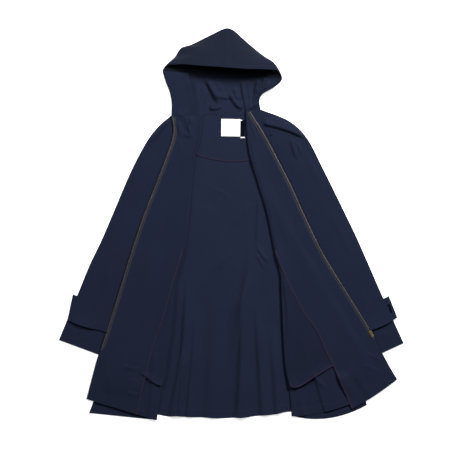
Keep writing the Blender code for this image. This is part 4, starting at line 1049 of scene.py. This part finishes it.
def make_hood_strip():
    """The middle strip: up the back of the hood and over the crown to the brim."""
    half = HOOD_STRIP_HALF + 0.2
    wide = across(-half, half, 14)
    t = down(0, PEAK_ROW, 110)
    x = hood_spine(t) + wide
    y = hood_line_y(np.repeat(t, wide.shape[1], axis=1), x)
    z = np.maximum(hood_low_height("right", t, np.zeros_like(x), x, y, 12.0) - 0.9, 0.55)
    low = place(x, y - 0.35 * (1 - ease(t, 0.0, 0.35)), z)
    turn = (crown_top(float(PEAK_ROW)) + BACK_LEVEL) / 2
    bend = [place(CROWN_STRIP_X + wide, 55.75 + 0.28 * math.sin(a) - 0.2 * wide**2, turn - 3.4 * math.cos(a))
            for a in np.linspace(0.5, math.pi - 0.5, 6)]
    t = down(PEAK_ROW, BRIM_ROW, 80)
    x = CROWN_STRIP_X + wide + 0 * t
    pull = brim_y(x) - hood_middle_y(float(BRIM_ROW))
    y = hood_middle_y(t) + pull * (1 - ease(t, BRIM_ROW, BRIM_FADED))
    z = crown_top(t) + 0.9 + 0.8 * ripple(x, y, 5.0, 71) + relief(x, y, CROWN_FOLDS)
    return Sheet(np.concatenate([low, *bend, place(x, y, z)], axis=0))


def make_brim_facing(side):
    """The turned-under facing behind the brim, seen from below."""
    t = down(5.02, 5.9, 12)
    c = across(0.06, 1, 40)
    x, y, z = crown_points(side, t, c, 0.02)
    return Sheet(place(x, y, z - 1.8 + 0.8 * ripple(x, y, 5.0, 71)))


def make_hood_band(side):
    """The facing band inside one side of the hood opening."""
    t = down(0.0, 4.8, 90)
    inner, left = BAND_START[side], side == "left"
    low = inner - (0.06 if left else 0.0) * (1 - ease(t, 0.0, 2.2))
    high = 0.985 - (0.03 if left else 0.0) * (1 - ease(t, 0.0, 1.0))
    c = low + (high - low) * across(0, 1, 34)
    rows, x, y, rim_z = hood_low(side, t, c)
    proud = 0.85 + (0.3 + 2.2 * (1 - ease(c, inner, inner + 0.12))) * ease(t, 0.0, 1.0)
    y = y + (-0.13 if left else 0.02) * (1 - ease(t, 0.0, 0.5))
    return Sheet(place(x, y, hood_low_height(side, rows, c, x, y, rim_z) + proud))


# ---------------------------------------------------------------- small parts

# Zip hardware: its node, side, place past the zip's last row in millimetres, height and metal
# name, then its blocks: place along, across and up, size, and how much of it the corners lose.
ZIP_PARTS = (
    ("zip_slider", "right", 7.1, CHAIN_RISE + 1.2, GILT, (
        ((0, 0, -2.0), (10.5, 7.6, 1.1), 0.22),
        ((0, 0, 0.2), (10.5, 8.4, 1.3), 0.3),
        ((0, -3.7, -0.6), (9.0, 0.9, 1.6), 0.22),
        ((0, 3.7, -0.6), (9.0, 0.9, 1.6), 0.22),
        ((-3.9, 0, -0.9), (2.0, 2.0, 2.2), 0.22),
        ((2.6, 0, 1.5), (1.4, 2.4, 1.8), 0.22),
        ((-2.6, 0, 1.5), (1.4, 2.4, 1.8), 0.22),
        ((0, 0, 2.2), (6.8, 2.2, 0.9), 0.3),
    )),
    ("zip_box", "right", 16.6, CHAIN_RISE + 0.3, GILT, (
        ((0, 0, 0), (6.8, 6.8, 2.8), 0.2),
        ((0, 1.5, 1.3), (5.4, 1.0, 0.8), 0.3),
        ((0, -1.5, 1.3), (5.4, 1.0, 0.8), 0.3),
        ((4.1, 0, -0.4), (1.8, 4.6, 1.8), 0.3),
    )),
    ("zip_pin", "left", 5.4, CHAIN_RISE, BRASS, (
        ((0, 0, 0), (8.6, 2.2, 2.2), 0.28),
        ((-3.0, 0, 0), (2.4, 4.6, 2.6), 0.2),
        ((2.0, 0, -0.3), (1.6, 3.4, 2.2), 0.2),
    )),
)


def chamfered(points, faces, centre, ways, size_mm, bevel):
    """Add a block with cut corners: its centre, three directions and its size in millimetres."""
    k = len(points)
    half = np.array(size_mm) / 2
    cut = bevel * half.min() * 2
    hull = bmesh.new()
    made = []
    for signs in itertools.product((-1, 1), repeat=3):
        for axis in range(3):
            corner = half - cut
            corner[axis] = half[axis]
            made.append(hull.verts.new(centre + (corner * signs) @ ways * MM))
    bmesh.ops.convex_hull(hull, input=made)
    bmesh.ops.dissolve_limit(hull, angle_limit=0.02, verts=hull.verts[:], edges=hull.edges[:])
    hull.verts.index_update()
    points += [np.array(v.co) for v in hull.verts]
    faces += [tuple(k + v.index for v in f.verts) for f in hull.faces]
    hull.free()


def make_zip_parts():
    """The slider and the box at the end of the right chain, and the pin at the end of the left."""
    up = np.array((0.0, 0.0, 1.0))
    for node, side, along, rise, mat, blocks in ZIP_PARTS:
        middle = np.array([CHAIN_WIDTH / 2])
        a, b = (zip_line(side, np.array([t]), middle, rise)[0] for t in (ZIP_END, ZIP_END + 0.05))
        way = unit((b - a) * (1, 1, 0))
        ways = np.array((way, np.cross(up, way), up))
        points, faces = [], []
        for at, size, bevel in blocks:
            chamfered(points, faces, a + way * along * MM + at @ ways * MM, ways, size, bevel)
        build(node + "_detail", points, faces, mat, (node,), smooth=False)


def make_stud():
    """The press stud: a rimmed disc with a domed middle."""
    x, y = 5.9, 23.7
    base = OVER_LEVEL + FACING_RISE + front_relief("right", np.array([x]), np.array([y]))[0] + CLOTH / 2
    profile = ((2.6, -0.1), (2.6, 0.35), (2.4, 0.6), (2.0, 0.68),
               (1.7, 0.5), (1.5, 0.55), (1.2, 1.05), (0.7, 1.3))
    n, points, faces = 28, [], []
    for r, h in profile:
        for k in range(n):
            a = 2 * math.pi * k / n
            points.append(place(x + r * 0.1 * math.cos(a), y + r * 0.1 * math.sin(a), base + h))
    for level in range(len(profile) - 1):
        for k in range(n):
            a, b = level * n + k, level * n + (k + 1) % n
            faces.append((a, b, b + n, a + n))
    faces.append(tuple(reversed(range(n))))
    faces.append(tuple(range(len(points) - n, len(points))))
    return build("press_stud_detail", points, faces, STEEL, ("press_stud",))


def patch(centre, size, turn_deg, level, bulge=0.0, n=16, follow=None):
    """A small rectangle of tape or label lying at a level."""
    turn = math.radians(turn_deg)
    v, u = np.meshgrid(np.linspace(-0.5, 0.5, n), np.linspace(-0.5, 0.5, n), indexing="ij")
    dx, dy = size[0] * u, size[1] * v
    x = centre[0] + dx * math.cos(turn) - dy * math.sin(turn)
    y = centre[1] + dx * math.sin(turn) + dy * math.cos(turn)
    z = level + bulge * np.cos(math.pi * u) * np.cos(math.pi * v)
    return Sheet(place(x, y, z + (0 if follow is None else follow(x, y))))


def make_strap(side):
    """A cuff strap lying across the sleeve, its lower edge standing up in the middle."""
    outer_up, outer_low, inner_up, inner_low = STRAPS[side]
    v = down(0, 1, 34)
    u = across(0, 1, 72)
    x, y = ((outer_up[k] * (1 - u) + inner_up[k] * u) * (1 - v)
            + (outer_low[k] * (1 - u) + inner_low[k] * u) * v for k in (0, 1))
    y = y + 0.35 * (1 - ease(u, 0.0, 0.03)) * (0.5 - v)
    crest = 0.72 if side == "left" else 1.0
    lift = 7.0 * v**2.6 * np.sin(math.pi * np.minimum(u / crest, 1.0)) ** 0.9
    uneven = 0.3 * ripple(x, y, 3.4, 81) + 0.3
    bow = -0.35 * v * np.sin(math.pi * np.minimum(u / 0.8, 1.0))
    z = STRAP_LEVEL + lift + uneven - 1.6 * (1 - ease(u, 0.0, 0.05)) * (1 - v)
    cells = np.ones((33, 71), bool)
    if side == "right":
        uu, vv = np.meshgrid((np.arange(71) + 0.5) / 71, (np.arange(33) + 0.5) / 33)
        cells = ~((np.abs(uu - 0.078) < 0.03) & (np.abs(vv - 0.5) < 0.2))
    return Sheet(place(x, y + bow, z), cells)


# ---------------------------------------------------------------- putting it together

def make_side(side, panel, sheets, stitched):
    """One side's front, sleeve, facing, zip, pocket bag, hood and cuff strap on the back panel."""
    front = make_front(side)
    flap = shell(side + "_front", front, INSIDE, ("front_" + side,))
    sheets.append((flap, (0.44, 0.90), "folded", (panel,), (), 0.245))
    sleeve = make_sleeve(side)
    tube = shell(side + "_sleeve", sleeve, SHELL, ("sleeve_" + side,))
    sheets.append((tube, (0.36, 0.70), "laid", ("ground_sheet",), (), 0.165))
    facing = make_facing(side)
    band = shell(side + "_facing", facing, INSIDE, ("facing_" + side,))
    bound = shell(side + "_binding", make_binding(side), MAROON, ("binding_" + side,), 0.7)
    sheets.append((band, (0.22, 0.90), "laid", (flap,), (bound,), 0.095))
    tape = shell(side + "_zip_tape", make_tape(side), TAPE, ("zip_tape_" + side,), 0.6)
    sheets.append((tape, (0.012, 0.70), "laid", (flap,), (make_teeth(side),), None))
    bag = make_bag(side)
    lining = INSIDE if side == "left" else BAG_CLOTH
    pouch = shell(side + "_pocket_bag", bag, lining, ("pocket_bag_" + side,), 1.5)
    wrap = shell(side + "_bag_binding", edge_tape(bag, "last", 4.5), MAROON, (), 0.3)
    sheets.append((pouch, (0.16, 0.32), "laid", (flap,), (wrap,), BAG_AREA[side]))
    hood, crown, low = make_hood_side(side)
    half = shell("hood_side_" + side, hood, HOOD_CLOTH, ("hood_" + side,), 0.8)
    sheets.append((half, HOOD_FLAT[side], "draped", (panel,), (), HOOD_AREA[side]))
    band = make_hood_band(side)
    inside = shell("hood_band_" + side, band, INSIDE, ("hood_facing_" + side,))
    sheets.append((inside, (0.10, 0.14), "draped", (half,), (), BAND_AREA[side]))
    brim = shell("brim_facing_" + side, make_brim_facing(side), INSIDE)
    sheets.append((brim, (0.16, 0.02), "draped", (half,), (), 0.0030))
    strap = make_strap(side)
    cuff = shell("strap_" + side, strap, SHELL, ("cuff_strap_" + side,), 1.2)
    under = ()
    if side == "right":
        # The under ply seen through the slot is near-black cloth: painted shade in the slot.
        slot = patch((45.2, -23.85), (2.0, 3.9), 24.8, STRAP_LEVEL - 1.2, 0.0, 8)
        # The pale strip along the strap's outer end is a painted highlight.
        pale = edge_tape(strap, "low", 6.0, 0.2, 0.95, 0.7)
        under = (shell("strap_under_ply_painted_shade", slot, DARK_TAB_AND_SLOT_SHADE, (), 0.8),
                 shell("strap_end_painted_highlight", pale, STRAP_END_HIGHLIGHT, (), 0.3))
    sheets.append((cuff, (0.14, 0.075), "laid", (tube,), under, 0.0095))
    stitched += [sleeve.inset("last", 22.0, 0.28, 1.0), facing.inset("high", 2.5)]
    stitched += [facing.inset("low", 2.0, 0.4), front.inset("last", 22.0, 0.22, 1.0)]
    stitched += [strap.inset(where, 5.0) for where in ("last", "first", "low")]
    stitched += [crown.inset("first", 6.0), crown.inset("first", 12.0, 0.02), crown.inset("high", 1.5)]
    stitched += [band.inset("low", 3.0), bag.inset("low", 6.0), low.inset("first", 6.0, 0.05, 0.98)]


def make_label(neck, sheets):
    """The blank neck label and the small care tab beside it, sewn to the neck facing."""
    square = patch((-0.15, 27.7), (5.4, 4.9), -1.0, YOKE_LEVEL + 1.1, 0.5, 20, yoke_relief)
    label = shell("blank_label", square, WHITE, ("neck_label",), 0.5)
    sewn = stitch_piece("label_stitching", [square.inset("low", 1.5), square.inset("high", 1.5)],
                        WHITE_THREAD, 1.8, 1.3, 0.35, 0.2, 0.25)
    sheets.append((label, (0.054, 0.049), "laid", (neck,), (sewn,), None))
    loop = patch((3.3, 27.5), (1.0, 4.6), -1.0, YOKE_LEVEL + 1.2, 0.3, 12, yoke_relief)
    tab = shell("size_tab_loop", loop, DARK_TAB_AND_SLOT_SHADE, ("size_tab",), 0.6)
    ends = []
    for name, spot, width in (("upper", (2.85, 29.8), 0.5), ("lower", (3.2, 24.9), 1.2)):
        end = patch(spot, (width, 0.3), -1.0, YOKE_LEVEL + 1.4, 0.1, 6, yoke_relief)
        ends.append(shell("tab_end_" + name, end, WHITE, (), 0.4))
    sheets.append((tab, (0.01, 0.046), "laid", (neck,), ends, None))


def assemble():
    """Make every piece and say what it stands for; returns the sheets and how each was cut."""
    sheets, stitched = [], []
    back, yoke = make_back(), make_yoke()
    panel = shell("back_panel", back, BACK_CLOTH, ("back",))
    sheets.append((panel, (0.82, 0.88), "laid", ("ground_sheet",), (), 0.47))
    neck = shell("neck_facing", yoke, BACK_CLOTH, ("back_neck_facing",))
    bound = shell("neck_facing_binding", make_yoke_binding(), MAROON,
                  ("binding_neck_facing",), 0.8)
    sheets.append((neck, (0.28, 0.14), "laid", (panel,), (bound,), 0.030))
    for side in SIDES:
        make_side(side, panel, sheets, stitched)
    strip = make_hood_strip()
    middle = shell("hood_strip", strip, HOOD_CLOTH, ("hood_centre",), 0.9)
    sheets.append((middle, (0.02, 0.40), "draped", (panel,), (), None))
    stitched += [strip.inset("low", 1.6), strip.inset("high", 1.6), back.inset("last", 22.0)]
    stitched += [yoke.inset("first", 4.0), yoke.inset("first", 10.0), yoke.inset("last", 2.0)]
    stitch_piece("navy_stitching", stitched, THREAD)
    make_zip_parts()
    make_stud()
    make_label(neck, sheets)
    dash = patch((11.3, 25.6), (0.9, 0.22), 4.0, SLEEVE_PUFF_LEVEL + 0.6, 0.0, 6,
                 lambda x, y: sleeve_relief("right", x, y, np.full(x.shape, 0.5)))
    shell("sleeve_bar_tack", dash, DARK_TAB_AND_SLOT_SHADE, (), 0.5)
    return sheets


# Lamps over the coat: place and size in metres, and power in watts.
LAMPS = (
    ("key", (1.35, 1.65, 2.3), 0.6, 166.0),
    ("fill", (-1.7, 1.2, 2.2), 0.7, 42.0),
    ("top", (0.0, 0.5, 3.2), 1.4, 5.0),
)
# The camera looks straight down from far off; at this lens the picture is PICTURE metres wide.
LENS_MM, SENSOR_MM, PICTURE = 250.0, 36.0, 1.311
CAMERA_AT = (-0.0037, -0.0165)


def stage():
    """A plain pale floor, soft light from above and the camera straight over the coat."""
    bpy.ops.mesh.primitive_plane_add(size=12.0, location=(0, 0, 0))
    floor = bpy.context.object
    floor.name = "ground_sheet"
    pale = Nodes("pale_floor", (0.93, 0.93, 0.93), 0.9)
    pale.shader.inputs["Specular IOR Level"].default_value = 0.1
    pale.shader.inputs["Emission Color"].default_value = (1.0, 1.0, 1.0, 1.0)
    pale.shader.inputs["Emission Strength"].default_value = 0.7
    floor.data.materials.append(pale.finish())
    scene = bpy.context.scene
    scene.view_settings.view_transform = "Standard"
    scene.view_settings.look = "None"
    world = bpy.data.worlds.new("studio")
    scene.world = world
    world.use_nodes = True
    world.node_tree.nodes["Background"].inputs["Color"].default_value = (1.0, 1.0, 1.0, 1.0)
    world.node_tree.nodes["Background"].inputs["Strength"].default_value = 0.08
    for name, at, size, watts in LAMPS:
        lamp = bpy.data.lights.new(name, "AREA")
        lamp.shape = "SQUARE"
        lamp.size = size
        lamp.energy = watts
        made = bpy.data.objects.new(name, lamp)
        made.location = at
        made.rotation_euler = (-Vector(at)).to_track_quat("-Z", "Y").to_euler()
        bpy.context.collection.objects.link(made)
    lens = bpy.data.cameras.new("camera")
    lens.lens, lens.sensor_width = LENS_MM, SENSOR_MM
    lens.clip_end = 60.0
    made = bpy.data.objects.new("camera", lens)
    made.location = (*CAMERA_AT, PICTURE * LENS_MM / SENSOR_MM)
    made.rotation_euler = (0.0, 0.0, 0.0)
    bpy.context.collection.objects.link(made)
    scene.camera = made


stage()
assemble()
